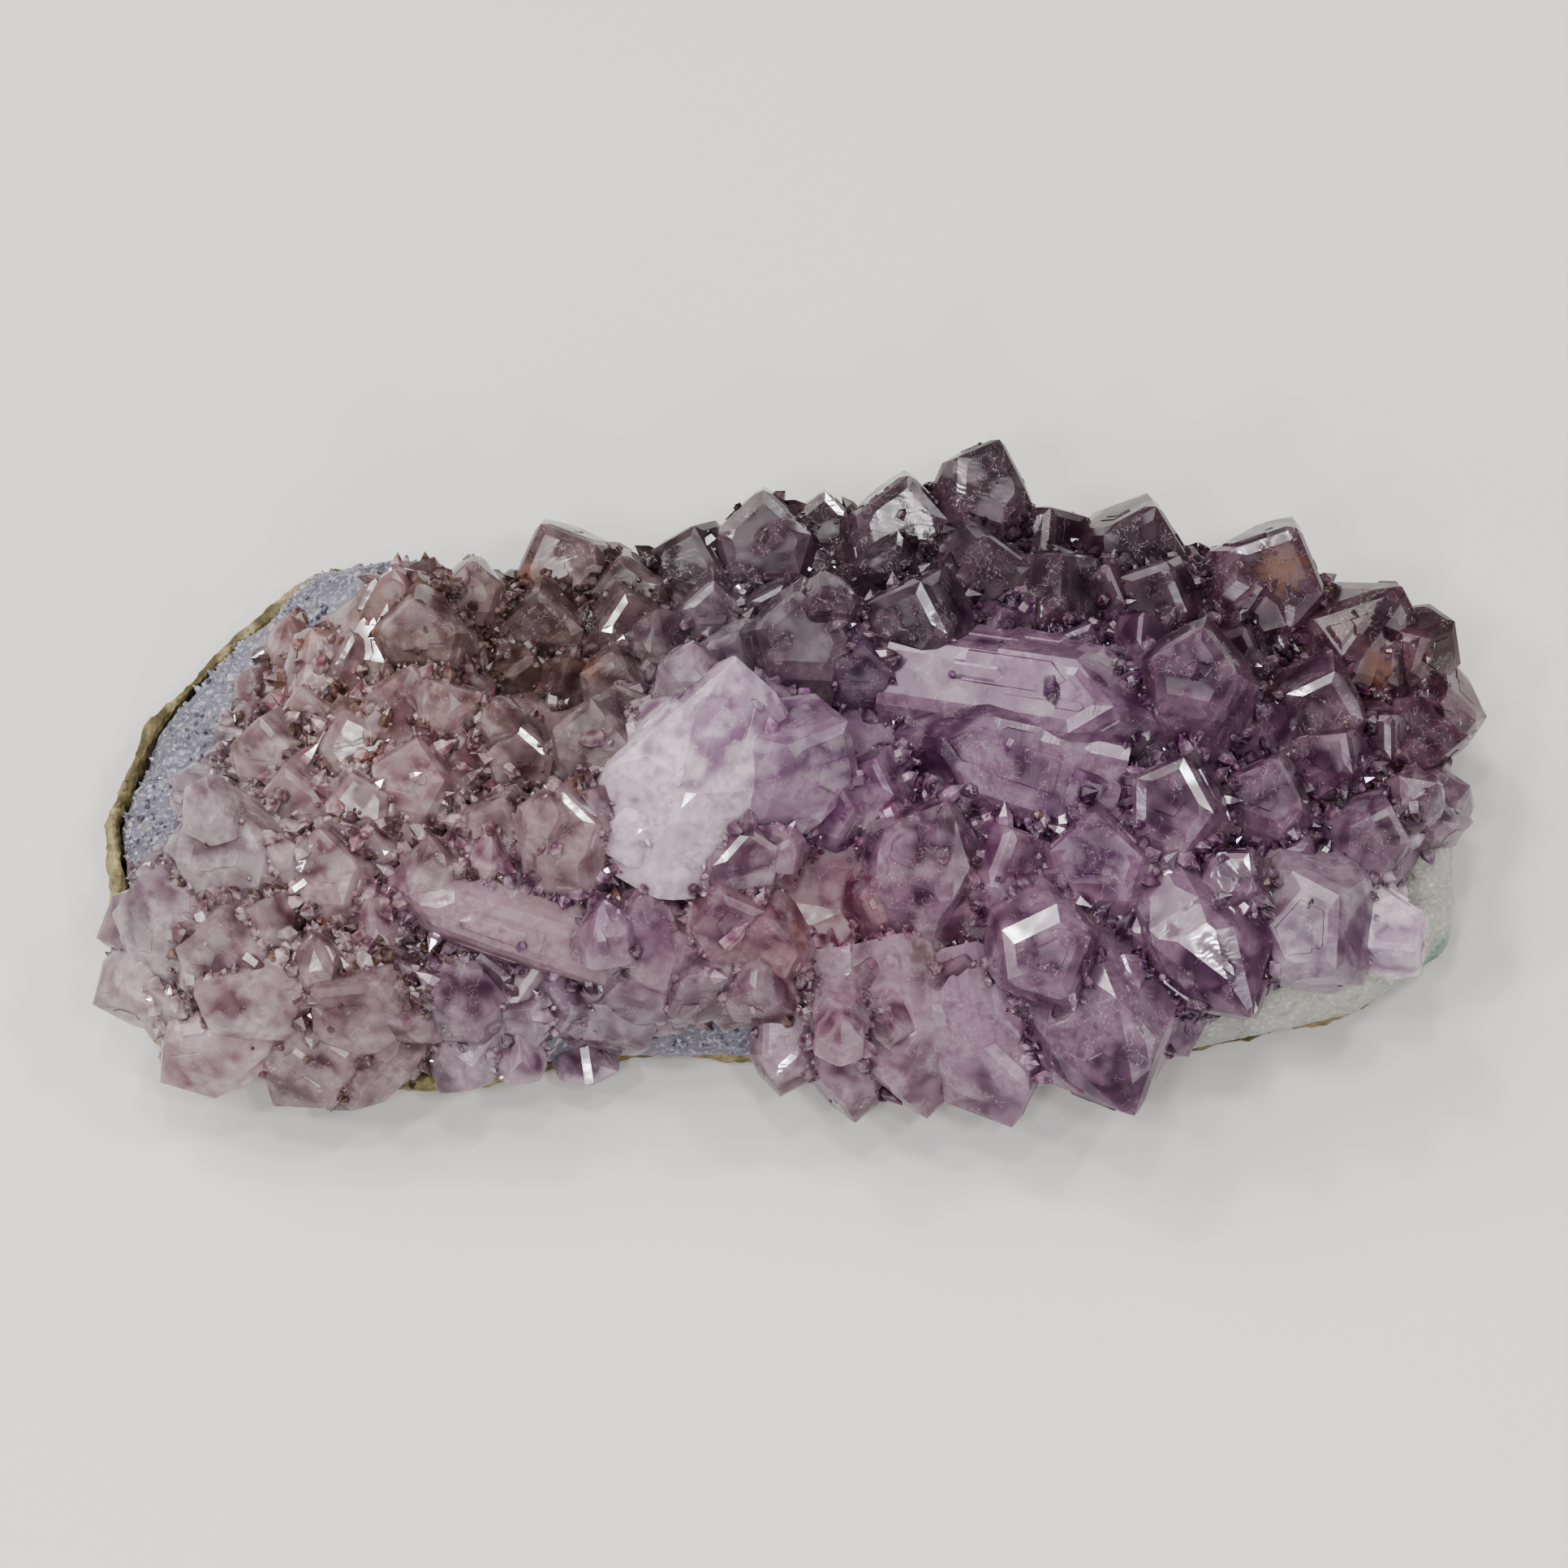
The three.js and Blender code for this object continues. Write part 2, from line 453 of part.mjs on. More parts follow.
// The rings of the rind's outside, from its underside up. grow makes the rind larger all round.
function rindOutside(grow) {
  return [
    ringAt(stoneRim, (p) => rindEdge(p) + grow - RIND_CHAMFER.inward, () => -grow),
    ringAt(stoneRim, (p) => rindEdge(p) + grow - 0.2, () => RIND_CHAMFER.height),
    ringAt(stoneRim, (p) => rindEdge(p) + grow, (x, y) => rindLip(x, y) * 0.75),
    ringAt(stoneRim, (p) => rindEdge(p) + grow - 0.4, (x, y) => rindLip(x, y) + grow),
  ];
}

// The rind: a sawn underside, and a skin that climbs one side of the agate and holds it like a tray.
function rindSolid() {
  const agateWidest = agateSide(GAP)[1].map((p) => p.z);
  const lip = ringAt(stoneRim, rindInner, rindLip);
  const rings = [
    ...rindOutside(0),
    lip.map((p) => p.clone().setZ(p.z - 0.2)),
    lip.map((p, i) => p.clone().setZ(Math.min(agateWidest[i], p.z - 0.4))),
    ringAt(stoneRim, (p) => rindInner(p) - 0.8, () => RIND_THICKNESS),
  ];
  return toSolid(loft(rings, new THREE.Vector3(0, 0, 0), new THREE.Vector3(0, 0, RIND_THICKNESS)));
}

// The room that the rind takes up, with the gap round it and no hollow.
function rindRoom() {
  const rings = [...rindOutside(GAP), ringAt(stoneRim, rindInner, (x, y) => rindLip(x, y) + GAP)];
  return toSolid(
    loft(rings, new THREE.Vector3(0, 0, -GAP), new THREE.Vector3(0, 0, RIND_THICKNESS + GAP)),
  );
}

// The bed that the crystals stand in, down into the agate.
function groundSolid() {
  const flush = () => 0;
  const rings = [
    ringAt(crystalRim, () => -6, () => BED_UNDERSIDE),
    ringAt(crystalRim, () => -1, () => BED_UNDERSIDE + 1.5),
    ringAt(crystalRim, flush, (x, y) => groundTop(x, y) - 1.2),
    ...[0.95, 0.7, 0.36].map((share) => scaledRing(crystalRim, share, flush, bedTop)),
  ];
  const underside = new THREE.Vector3(0, 0, BED_UNDERSIDE);
  return toSolid(loft(rings, underside, new THREE.Vector3(0, 0, bedTop(0, 0))));
}

function meetingPoint(a, b, c) {
  const bc = b.normal.clone().cross(c.normal);
  const across = a.normal.dot(bc);
  if (Math.abs(across) < 1e-6) return null;
  return bc
    .multiplyScalar(-a.constant)
    .addScaledVector(c.normal.clone().cross(a.normal), -b.constant)
    .addScaledVector(a.normal.clone().cross(b.normal), -c.constant)
    .divideScalar(across);
}

// The convex body behind a set of planes whose normals point out of it.
function bodyBehind(planes) {
  const corners = [];
  for (let i = 0; i < planes.length; i++) {
    for (let j = i + 1; j < planes.length; j++) {
      for (let k = j + 1; k < planes.length; k++) {
        const p = meetingPoint(planes[i], planes[j], planes[k]);
        if (!p) continue;
        if (planes.some((plane) => plane.distanceToPoint(p) > 1e-6)) continue;
        if (corners.some((q) => q.distanceTo(p) < 1e-3)) continue;
        corners.push(p);
      }
    }
  }
  return new ConvexGeometry(corners);
}

// One quartz crystal from its root to its tip: six uneven prism faces, three broad pyramid faces that
// meet at the tip, and three lesser ones between them.
function crystalSolid(root, tip, wide, turn, dice) {
  const length = tip.distanceTo(root);
  const half = wide / 2;
  const planes = [new THREE.Plane(new THREE.Vector3(0, 0, -1), -length)];
  for (let side = 0; side < 6; side++) {
    const angle = turn + (side * Math.PI) / 3;
    const out = new THREE.Vector3(Math.cos(angle), Math.sin(angle), 0);
    const taper = out.clone().setZ(dice(0.02, 0.09)).normalize();
    planes.push(new THREE.Plane(taper, -half * dice(0.84, 1.1)));
    const slope = out.clone().multiplyScalar(Math.sin(PYRAMID_ANGLE)).setZ(Math.cos(PYRAMID_ANGLE));
    const setBack = side % 2 ? dice(0.06, 0.42) : dice(0, 0.1);
    if (side % 2 && wide < SIX_SIDED_OVER) continue;
    planes.push(new THREE.Plane(slope, -half * setBack));
  }
  const upright = new THREE.Vector3(0, 0, 1);
  const lean = new THREE.Quaternion().setFromUnitVectors(upright, tip.clone().sub(root).normalize());
  const placing = new THREE.Matrix4().makeRotationFromQuaternion(lean).setPosition(tip);
  return toSolid(bodyBehind(planes).applyMatrix4(placing));
}

function fromView([right, up], height) {
  const y = (up - (height - VIEW_HEIGHT) * Math.cos(VIEW_ANGLE)) / Math.sin(VIEW_ANGLE);
  return new THREE.Vector3(right, y, height);
}

// The point of the ground that is seen at a place on the picture plane.
function groundSeenAt(place) {
  let point = fromView(place, GROUND_EDGE_HEIGHT);
  for (let i = 0; i < 12; i++) point = fromView(place, groundTop(point.x, point.y));
  const share = shareTo(crystalRim, point.x, point.y);
  if (share > FEET_SHARE) {
    point.multiplyScalar(FEET_SHARE / share);
    point.z = groundTop(point.x, point.y);
  }
  return point;
}

function placedCrystal({ tip, foot, rise, wide, turn }) {
  const base = groundSeenAt(foot);
  const point = fromView(tip, base.z + rise);
  const dice = diceAt(foot[0], foot[1]);
  const axis = point.clone().sub(base).normalize();
  const inward = base.clone().setZ(0).normalize().negate();
  const root = base
    .clone()
    .addScaledVector(axis, -ROOT_DEPTH)
    .addScaledVector(inward, ROOT_DRAW * wide * shareTo(crystalRim, base.x, base.y) ** 3);
  const spin = turn === undefined ? dice(0, Math.PI) : THREE.MathUtils.degToRad(turn);
  return { foot: base, solid: crystalSolid(root, point, wide, spin, dice) };
}

function groundNormal(x, y) {
  const step = 1;
  const slopeX = (groundTop(x + step, y) - groundTop(x - step, y)) / (2 * step);
  const slopeY = (groundTop(x, y + step) - groundTop(x, y - step)) / (2 * step);
  return new THREE.Vector3(-slopeX, -slopeY, 1).normalize();
}

// Small crystals on a staggered grid, wherever no placed one stands.
function fillCrystals(feet) {
  const made = [];
  const rowStep = FILL.spacing * Math.sin(Math.PI / 3);
  for (let row = -FILL.rows; row <= FILL.rows; row++) {
    for (let column = -FILL.columns; column <= FILL.columns; column++) {
      const dice = diceAt(column, row + 0.37);
      const x = (column + (row % 2) / 2) * FILL.spacing + dice(-FILL.jitter, FILL.jitter);
      const y = row * rowStep + dice(-FILL.jitter, FILL.jitter);
      if (shareTo(crystalRim, x, y) > FEET_SHARE) continue;
      const foot = new THREE.Vector3(x, y, bedTop(x, y));
      if (feet.some((p) => p.distanceTo(foot) < FILL.clearance)) continue;
      const axis = groundNormal(x, y);
      axis.x += dice(-FILL.lean, FILL.lean);
      axis.y += dice(-FILL.lean, FILL.lean);
      axis.normalize();
      const tip = foot.clone().addScaledVector(axis, dice(...FILL.rise));
      const root = foot.clone().addScaledVector(axis, -FILL.root);
      made.push(crystalSolid(root, tip, dice(...FILL.wide), dice(0, Math.PI), dice));
    }
  }
  return made;
}

function isBare(p) {
  const angle = (THREE.MathUtils.radToDeg(Math.atan2(p.y, p.x)) + 360) % 360;
  return BARE_STRETCHES.some(([from, to]) => angle > from && angle < to);
}

// Crystals that lean out over the edge of the ground and hang down its side.
function skirtCrystals() {
  const count = Math.round(crystalEdge.getLength() / SKIRT.spacing);
  const made = [];
  for (let i = 0; i < count; i++) {
    const p = crystalEdge.getPointAt(i / count);
    if (isBare(p)) continue;
    const along = crystalEdge.getTangentAt(i / count);
    const out = new THREE.Vector3(along.y, -along.x, 0);
    const dice = diceAt(p.x, p.y);
    const foot = p.clone().setZ(groundTop(p.x, p.y) - SKIRT.below);
    const tip = foot.clone().addScaledVector(out, dice(...SKIRT.reach));
    tip.z -= dice(...SKIRT.drop);
    tip.addScaledVector(along, dice(-1, 1));
    const axis = tip.clone().sub(foot).normalize();
    const root = foot.clone().addScaledVector(axis, -SKIRT.root);
    made.push(crystalSolid(root, tip, dice(...SKIRT.wide), dice(0, Math.PI), dice));
  }
  return made;
}

const amethyst = new THREE.MeshStandardMaterial({ color: 0x8c7392, roughness: 0.15, metalness: 0 });
const agate = new THREE.MeshStandardMaterial({ color: 0xa7a9ae, roughness: 0.45, metalness: 0 });
const rindStone = new THREE.MeshStandardMaterial({ color: 0x7c775c, roughness: 0.9, metalness: 0 });

const placed = PLACED_CRYSTALS.map(placedCrystal);
const crystals = [
  ...placed.map((made) => made.solid),
  ...fillCrystals(placed.map((made) => made.foot)),
  ...skirtCrystals(),
];
const crust = crystals
  .reduce((whole, one) => whole.add(one), groundSolid())
  .subtract(agateSolid(GAP))
  .subtract(rindRoom());

const cluster = new THREE.Group();
cluster.add(toMesh("amethyst_crystals", crust, amethyst));
cluster.add(toMesh("agate_slab", agateSolid(), agate));
cluster.add(toMesh("rind", rindSolid(), rindStone));

// The origin is the middle of the underside's bounding box.
const bounds = new THREE.Box3().setFromObject(cluster);
const middle = bounds.getCenter(new THREE.Vector3());
cluster.position.set(-middle.x, -middle.y, -bounds.min.z);

export default cluster;
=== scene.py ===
# %% [markdown]
# # An amethyst cluster
#
# The specimen is a slab of pale agate with a thin rind, and on it grows a crowded crust of amethyst
# points. The packed model gives the three solids their real size and place: `amethyst_crystals`,
# `agate_slab` and `rind`. This notebook gives them their finish: worn crystal edges, growth plates,
# cloudy colour inside clear rims, a fine druse in the valleys, sugary agate and a rough rind.
# Lengths in these cells are millimetres until a mesh is written, because crystals are easier to think
# about that way. Blender itself works in metres.

# %% Load the fixed frame
import json
import math
from itertools import combinations

import bmesh
import bpy
import numpy as np
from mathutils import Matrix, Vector, noise
from mathutils.bvhtree import BVHTree

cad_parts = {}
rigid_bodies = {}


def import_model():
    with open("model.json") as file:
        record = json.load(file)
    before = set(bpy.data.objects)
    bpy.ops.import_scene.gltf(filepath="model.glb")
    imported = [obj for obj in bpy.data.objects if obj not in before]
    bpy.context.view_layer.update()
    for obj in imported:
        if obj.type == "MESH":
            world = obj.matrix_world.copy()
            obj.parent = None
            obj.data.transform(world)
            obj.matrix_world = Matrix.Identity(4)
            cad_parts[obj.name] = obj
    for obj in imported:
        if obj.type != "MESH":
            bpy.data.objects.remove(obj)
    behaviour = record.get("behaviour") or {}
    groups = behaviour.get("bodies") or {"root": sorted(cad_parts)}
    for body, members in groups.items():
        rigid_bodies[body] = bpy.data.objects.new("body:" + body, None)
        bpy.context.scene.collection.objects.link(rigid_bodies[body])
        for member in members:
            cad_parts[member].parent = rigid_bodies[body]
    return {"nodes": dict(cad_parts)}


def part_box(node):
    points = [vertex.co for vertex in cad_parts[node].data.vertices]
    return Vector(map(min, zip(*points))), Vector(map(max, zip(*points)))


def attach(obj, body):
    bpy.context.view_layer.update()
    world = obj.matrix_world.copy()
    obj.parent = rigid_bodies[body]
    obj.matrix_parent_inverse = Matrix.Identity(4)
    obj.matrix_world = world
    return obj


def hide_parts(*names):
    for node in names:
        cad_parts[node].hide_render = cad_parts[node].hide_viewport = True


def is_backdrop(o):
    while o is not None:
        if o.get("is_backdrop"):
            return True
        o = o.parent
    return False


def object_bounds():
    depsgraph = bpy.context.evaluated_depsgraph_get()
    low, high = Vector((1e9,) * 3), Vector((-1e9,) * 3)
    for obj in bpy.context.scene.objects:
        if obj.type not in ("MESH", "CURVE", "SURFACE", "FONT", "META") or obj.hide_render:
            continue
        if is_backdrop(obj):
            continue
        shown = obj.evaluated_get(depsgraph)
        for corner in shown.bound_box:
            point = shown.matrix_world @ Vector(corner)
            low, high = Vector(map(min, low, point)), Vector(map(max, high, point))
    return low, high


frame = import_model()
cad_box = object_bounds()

MM = 0.001
crust_low, crust_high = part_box("amethyst_crystals")
print("the crust fills", [round(side / MM, 1) for side in crust_high - crust_low], "mm")

# %% [markdown]
# ## The camera and the picture plane
#
# The specimen is seen from its long front side, from well above. A long lens stands for the flat look
# of the picture. `seen_at` gives the place of a point on a plane that faces the camera, in millimetres
# to the right and up from the picture's middle. The colour clouds further down are placed with it, so
# that they can be read straight off the picture, and they still belong to the stone from any side.

# %% Camera
VIEW_HEIGHT = math.radians(60)
PICTURE_MIDDLE = np.array([-0.97, 2.61, 10.0])
CAMERA_DISTANCE = 670.8
LENS = 200
SENSOR_WIDTH = 36
FAR_END = 10

camera = bpy.data.objects.new("camera", bpy.data.cameras.new("camera"))
bpy.context.scene.collection.objects.link(camera)
bpy.context.scene.camera = camera
camera.data.lens = LENS
camera.data.sensor_width = SENSOR_WIDTH
camera.data.clip_end = FAR_END
TOWARDS_CAMERA = np.array([0, -math.cos(VIEW_HEIGHT), math.sin(VIEW_HEIGHT)])
camera.location = Vector((PICTURE_MIDDLE + TOWARDS_CAMERA * CAMERA_DISTANCE) * MM)
camera.rotation_euler = (math.pi / 2 - VIEW_HEIGHT, 0, 0)


def seen_at(point):
    """Where a point shows on the picture plane: millimetres to the right and up."""
    away = np.asarray(point) - PICTURE_MIDDLE
    return np.array([away[0], away[1] * math.sin(VIEW_HEIGHT) + away[2] * math.cos(VIEW_HEIGHT)])


print("the picture is", round(CAMERA_DISTANCE * SENSOR_WIDTH / LENS, 1), "mm wide at the stone")

# %% [markdown]
# ## Floor and light
#
# A plain pale floor, and two soft lamps. Crystal faces are small mirrors, so a face only glints where
# it happens to reflect a lamp. Eight small weak lamps therefore stand here and there above the stone,
# and some faces flash white, as in the picture. The floor is only matt paint: the simplest shader
# is also the quickest to render, and the floor fills most of the picture.

# %% Floor
FLOOR_HALF = 1.5


def matt_paint(name, colour):
    """A material of one colour, with no gloss."""
    material = bpy.data.materials.new(name)
    material.use_nodes = True
    nodes = material.node_tree.nodes
    nodes.clear()
    paint_coat = nodes.new("ShaderNodeBsdfDiffuse")
    paint_coat.inputs["Color"].default_value = (*colour, 1)
    end = nodes.new("ShaderNodeOutputMaterial")
    material.node_tree.links.new(paint_coat.outputs[0], end.inputs["Surface"])
    return material


floor_mesh = bpy.data.meshes.new("floor")
floor_mesh.from_pydata(
    [(x * FLOOR_HALF, y * FLOOR_HALF, 0) for x, y in [(-1, -1), (1, -1), (1, 1), (-1, 1)]],
    [], [(0, 1, 2, 3)],
)
floor = bpy.data.objects.new("floor", floor_mesh)
bpy.context.scene.collection.objects.link(floor)
floor_mesh.materials.append(matt_paint("pale_floor", (0.63, 0.62, 0.61)))
floor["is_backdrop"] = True
print("the floor is", 2 * FLOOR_HALF, "m wide")

# %% Lamps
CENTRE = Vector((0, 0, 0.012))
GLINT_SIZE = 0.06
GLINT_WATTS = 0.75
ROOM_TONE = (0.8, 0.78, 0.78, 1)
ROOM_LIGHT = 0.35


def lamp(name, place, size, watts, tint=(1, 1, 1)):
    """A round lamp that shines on the middle of the stone. Places and sizes are in metres."""
    data = bpy.data.lights.new(name, "AREA")
    data.shape = "DISK"
    data.size = size
    data.energy = watts
    data.color = tint
    thing = bpy.data.objects.new(name, data)
    thing.location = place
    thing.rotation_euler = (CENTRE - Vector(place)).to_track_quat("-Z", "Y").to_euler()
    bpy.context.scene.collection.objects.link(thing)


lamp("wide_softbox", (-0.4, 0.2, 0.6), size=0.6, watts=3.4, tint=(1, 0.97, 0.94))
lamp("low_fill", (0.5, -0.35, 0.25), size=0.4, watts=1.0, tint=(1, 0.98, 0.96))
GLINT_LAMPS = [
    (0.12, -0.3, 0.62), (-0.26, -0.22, 0.58), (0.3, 0.02, 0.6), (-0.04, -0.06, 0.7), (0.02, -0.5, 0.42),
    (-0.5, -0.3, 0.36), (-0.2, 0.22, 0.62), (-0.1, -0.36, 0.56),
]
for number, place in enumerate(GLINT_LAMPS):
    lamp(f"glint_lamp_{number}", place, GLINT_SIZE, GLINT_WATTS)
world = bpy.data.worlds.new("studio")
bpy.context.scene.world = world
world.use_nodes = True
world.node_tree.nodes["Background"].inputs["Color"].default_value = ROOM_TONE
world.node_tree.nodes["Background"].inputs["Strength"].default_value = ROOM_LIGHT
bpy.context.scene.view_settings.look = "AgX - Medium High Contrast"
print(len(bpy.data.lights), "lamps")

# %% [markdown]
# ## Reading the crystals back from the solid
#
# The solid crust is one closed body of flat facets. To refine a crystal it must first be known as a
# crystal. The crystals could be modelled afresh and fitted over the solid, but then they would never
# quite meet it. Reading them back keeps every face on the plane that the solid gives it. The first
# step gathers the loose triangles of each flat facet, and marks the facets that lie on the stone below.

# %% Flat facets
UNDERSIDE_GAP = 0.45
FLAT_WITHIN = 0.004
SAME_WAY = 0.98
SLIVER = 1e-9


def welded(node):
    """A copy of a node's mesh whose loose triangles are joined."""
    mesh = bmesh.new()
    mesh.from_mesh(frame["nodes"][node].data)
    bmesh.ops.remove_doubles(mesh, verts=mesh.verts, dist=1e-7)
    mesh.normal_update()
    return mesh


class Facet:
    """Triangles of one plane. Its normal and reach say: normal . point = reach, in millimetres."""

    def __init__(self, seed):
        self.normal = np.array(seed.normal)
        self.reach = self.normal @ np.array(seed.verts[0].co) / MM
        self.triangles = [seed]

    def holds(self, triangle):
        flat = all(
            abs(self.normal @ np.array(v.co) / MM - self.reach) < FLAT_WITHIN for v in triangle.verts
        )
        turned_alike = triangle.normal @ Vector(self.normal) > SAME_WAY
        return flat and (turned_alike or triangle.calc_area() < SLIVER)

    def measure(self, hosts):
        self.area = sum(t.calc_area() for t in self.triangles) / MM**2
        corners = [v.co for t in self.triangles for v in t.verts]
        self.points = np.array(corners) / MM
        near = UNDERSIDE_GAP * MM
        self.hidden = all(any(h.find_nearest(c, near)[0] is not None for h in hosts) for c in corners)


def flat_facets(mesh, hosts):
    """The facets of a mesh, and the facet of each of its triangles."""
    facets, facet_of = [], {}
    for seed in sorted(mesh.faces, key=lambda face: -face.calc_area()):
        if seed in facet_of:
            continue
        facet = Facet(seed)
        facet_of[seed] = facet
        waiting = [seed]
        while waiting:
            for edge in waiting.pop().edges:
                for side in edge.link_faces:
                    if side not in facet_of and facet.holds(side):
                        facet_of[side] = facet
                        facet.triangles.append(side)
                        waiting.append(side)
        facet.measure(hosts)
        facets.append(facet)
    return facets, facet_of


crust_mesh = welded("amethyst_crystals")
hosts = [BVHTree.FromBMesh(welded(node)) for node in ("agate_slab", "rind")]
facets, facet_of = flat_facets(crust_mesh, hosts)
print(len(facets), "facets,", sum(f.hidden for f in facets), "of them on the agate or the rind")

# %% [markdown]
# ## Which facets are one crystal's
#
# Where a crystal turns an edge of its own, the edge stands out. Where two crystals grow into each other,
# the edge between them is a groove. So facets that meet at an outward edge belong together. A facet
# that a neighbour cuts in two is found again by its plane, which both halves share.

# %% Facets that belong to one crystal
SAME_PLANE = 0.003
PARALLEL = 0.99999
OUTWARD = 1e-9
SPECK = 0.01
OPEN_AREA = 0.05


def outward_edge(edge):
    """True where the surface turns away from itself along an edge."""
    one, other = edge.link_faces
    loop = next(corner for corner in one.loops if corner.edge == edge)
    along = loop.link_loop_next.vert.co - loop.vert.co
    return one.normal.cross(other.normal).dot(along) > OUTWARD


def crystal_groups(mesh, facets, facet_of):
    """The facets sorted into groups, each of one crystal or of a few that can't be told apart yet."""
    group_of = {facet: {facet} for facet in facets}

    def join(one, other):
        if group_of[one] is not group_of[other]:
            whole = group_of[one] | group_of[other]
            for facet in whole:
                group_of[facet] = whole

    for edge in mesh.edges:
        one, other = (facet_of[face] for face in edge.link_faces)
        clean = not (one.hidden or other.hidden) and min(one.area, other.area) > SPECK
        if one is not other and clean and outward_edge(edge):
            join(one, other)
    open_facets = [f for f in facets if not f.hidden and f.area > OPEN_AREA]
    for one, other in combinations(open_facets, 2):
        if abs(one.reach - other.reach) < SAME_PLANE and one.normal @ other.normal > PARALLEL:
            join(one, other)
    groups = {id(group): group for facet, group in group_of.items() if not facet.hidden}
    order = {facet: place for place, facet in enumerate(facets)}
    return [sorted(group, key=order.get) for group in groups.values()]


groups = crystal_groups(crust_mesh, facets, facet_of)
print(len(groups), "groups of facets")

# %% [markdown]
# ## The axis of each crystal
#
# A quartz crystal has six prism faces along its axis and six pyramid faces, which always slope by 51.8
# degrees. Two pyramid faces therefore give the axis, up to a choice of two. Every pair in a group is
# tried, and the axis that names the largest area of faces wins. What it can't name belongs to another
# crystal, so the rest of the group is tried again.

# %% The axis of each crystal
PYRAMID_ANGLE = math.radians(51.8)
LEAN = math.cos(PYRAMID_ANGLE)
SLOPE = math.sin(PYRAMID_ANGLE)
SIDES = 6
STEP = math.tau / SIDES
TAPER = (0.015, 0.095)
TURN_SLACK = 0.02
LEAN_SLACK = 0.004
PAIR_SLACK = 0.002
LARGE_FACET = 0.15
LEAST_CRYSTAL = 1


def axes_through(one, other):
    """The two directions that lean equally, by the quartz angle, from a pair of pyramid faces."""
    turn = one @ other
    share = LEAN / (1 + turn)
    rest = 1 - share**2 * (2 + 2 * turn)
    across = np.cross(one, other)
    across *= math.sqrt(max(rest, 0)) / np.linalg.norm(across)
    for axis in (share * (one + other) + across, share * (one + other) - across):
        yield axis / np.linalg.norm(axis)


def read_side(facet, axis, first, second):
    """Which of the twelve faces of a crystal a facet is: its kind and its side, or None."""
    along = facet.normal @ axis
    turns = math.atan2(facet.normal @ second, facet.normal @ first) / STEP
    if abs(turns - round(turns)) > TURN_SLACK:
        return None
    side = round(turns) % SIDES
    if abs(along - LEAN) < LEAN_SLACK:
        return "pyramid", side
    if TAPER[0] < along < TAPER[1]:
        return "prism", side
    return None


def read_crystal(group):
    """The axis that explains the most of a group of facets, with the faces that it names."""
    best, best_area = None, 0
    large = [f for f in group if f.area > LARGE_FACET]
    usual = [LEAN**2 + SLOPE**2 * math.cos(STEP * apart) for apart in (1, 2, 3)]
    for one, other in combinations(large, 2):
        turn = one.normal @ other.normal
        if min(abs(turn - expected) for expected in usual) > PAIR_SLACK:
            continue
        for axis in axes_through(one.normal, other.normal):
            first = one.normal - axis * (one.normal @ axis)
            first /= np.linalg.norm(first)
            second = np.cross(axis, first)
            named = [(read_side(f, axis, first, second), f) for f in large]
            named = [(side, f) for side, f in named if side]
            area = sum(f.area for _, f in named)
            if area > best_area:
                best, best_area = (axis, first, second, named), area
    return best


found = []
for group in groups:
    left = group
    while sum(f.area for f in left) > LEAST_CRYSTAL and (crystal := read_crystal(left)):
        found.append(crystal)
        used = {id(f) for _, f in crystal[3]}
        left = [f for f in left if id(f) not in used]
print(len(found), "crystals read back")

# %% [markdown]
# ## A crystal as planes
#
# A crystal is convex, so it is fully told by its planes: six prism faces, six pyramid faces and a root.
# Faces that the solid shows keep their measured planes. A face that a neighbour hides is put where it
# just touches what shows, so that nothing new sticks out. Worn edges come from planes too: the body is
# grown by a tenth to a third of a millimetre, and every edge is cut back by three planes along the old
# edge. A Bevel modifier would stop at the shortest edge, and uneven crystals have very short ones. Cut
# planes have no such limit. They give rounded edges that catch the light, with the flats left flat, as
# on real quartz.

# %% Corners of a body behind planes
TOUCHING = 1e-3
FIRM = 1e-4


def unit(vector):
    return vector / np.linalg.norm(vector)


def hull_of(points):
    """A closed convex mesh round a set of points."""
    mesh = bmesh.new()
    for point in points:
        mesh.verts.new(Vector(point))
    mesh.verts.index_update()
    bmesh.ops.convex_hull(mesh, input=mesh.verts)
    return mesh


def corners_behind(normals, reaches, inside=None):
    """The corners of the convex body behind a set of planes.

    With a point inside the body the work is short: each plane becomes a point, its normal divided by
    its distance, and the hull of those points has one face for each corner of the body."""
    if inside is None:
        trios = np.array(list(combinations(range(len(normals)), 3)))
    else:
        hull = hull_of(normals / (reaches - normals @ inside)[:, None])
        trios = np.array([[v.index for v in face.verts] for face in hull.faces])
        hull.free()
    walls = normals[trios]
    firm = abs(np.linalg.det(walls)) > FIRM
    points = np.linalg.solve(walls[firm], reaches[trios[firm]][..., None])[..., 0]
    return points[(points @ normals.T <= reaches + TOUCHING).all(axis=1)]


cube_sides = np.vstack([np.eye(3), -np.eye(3)])
print("a cube has", len(corners_behind(cube_sides, np.ones(6))), "corners behind its six planes")

# %% Worn edges
EDGE_CUTS = 3
WORN_BACK = 0.012


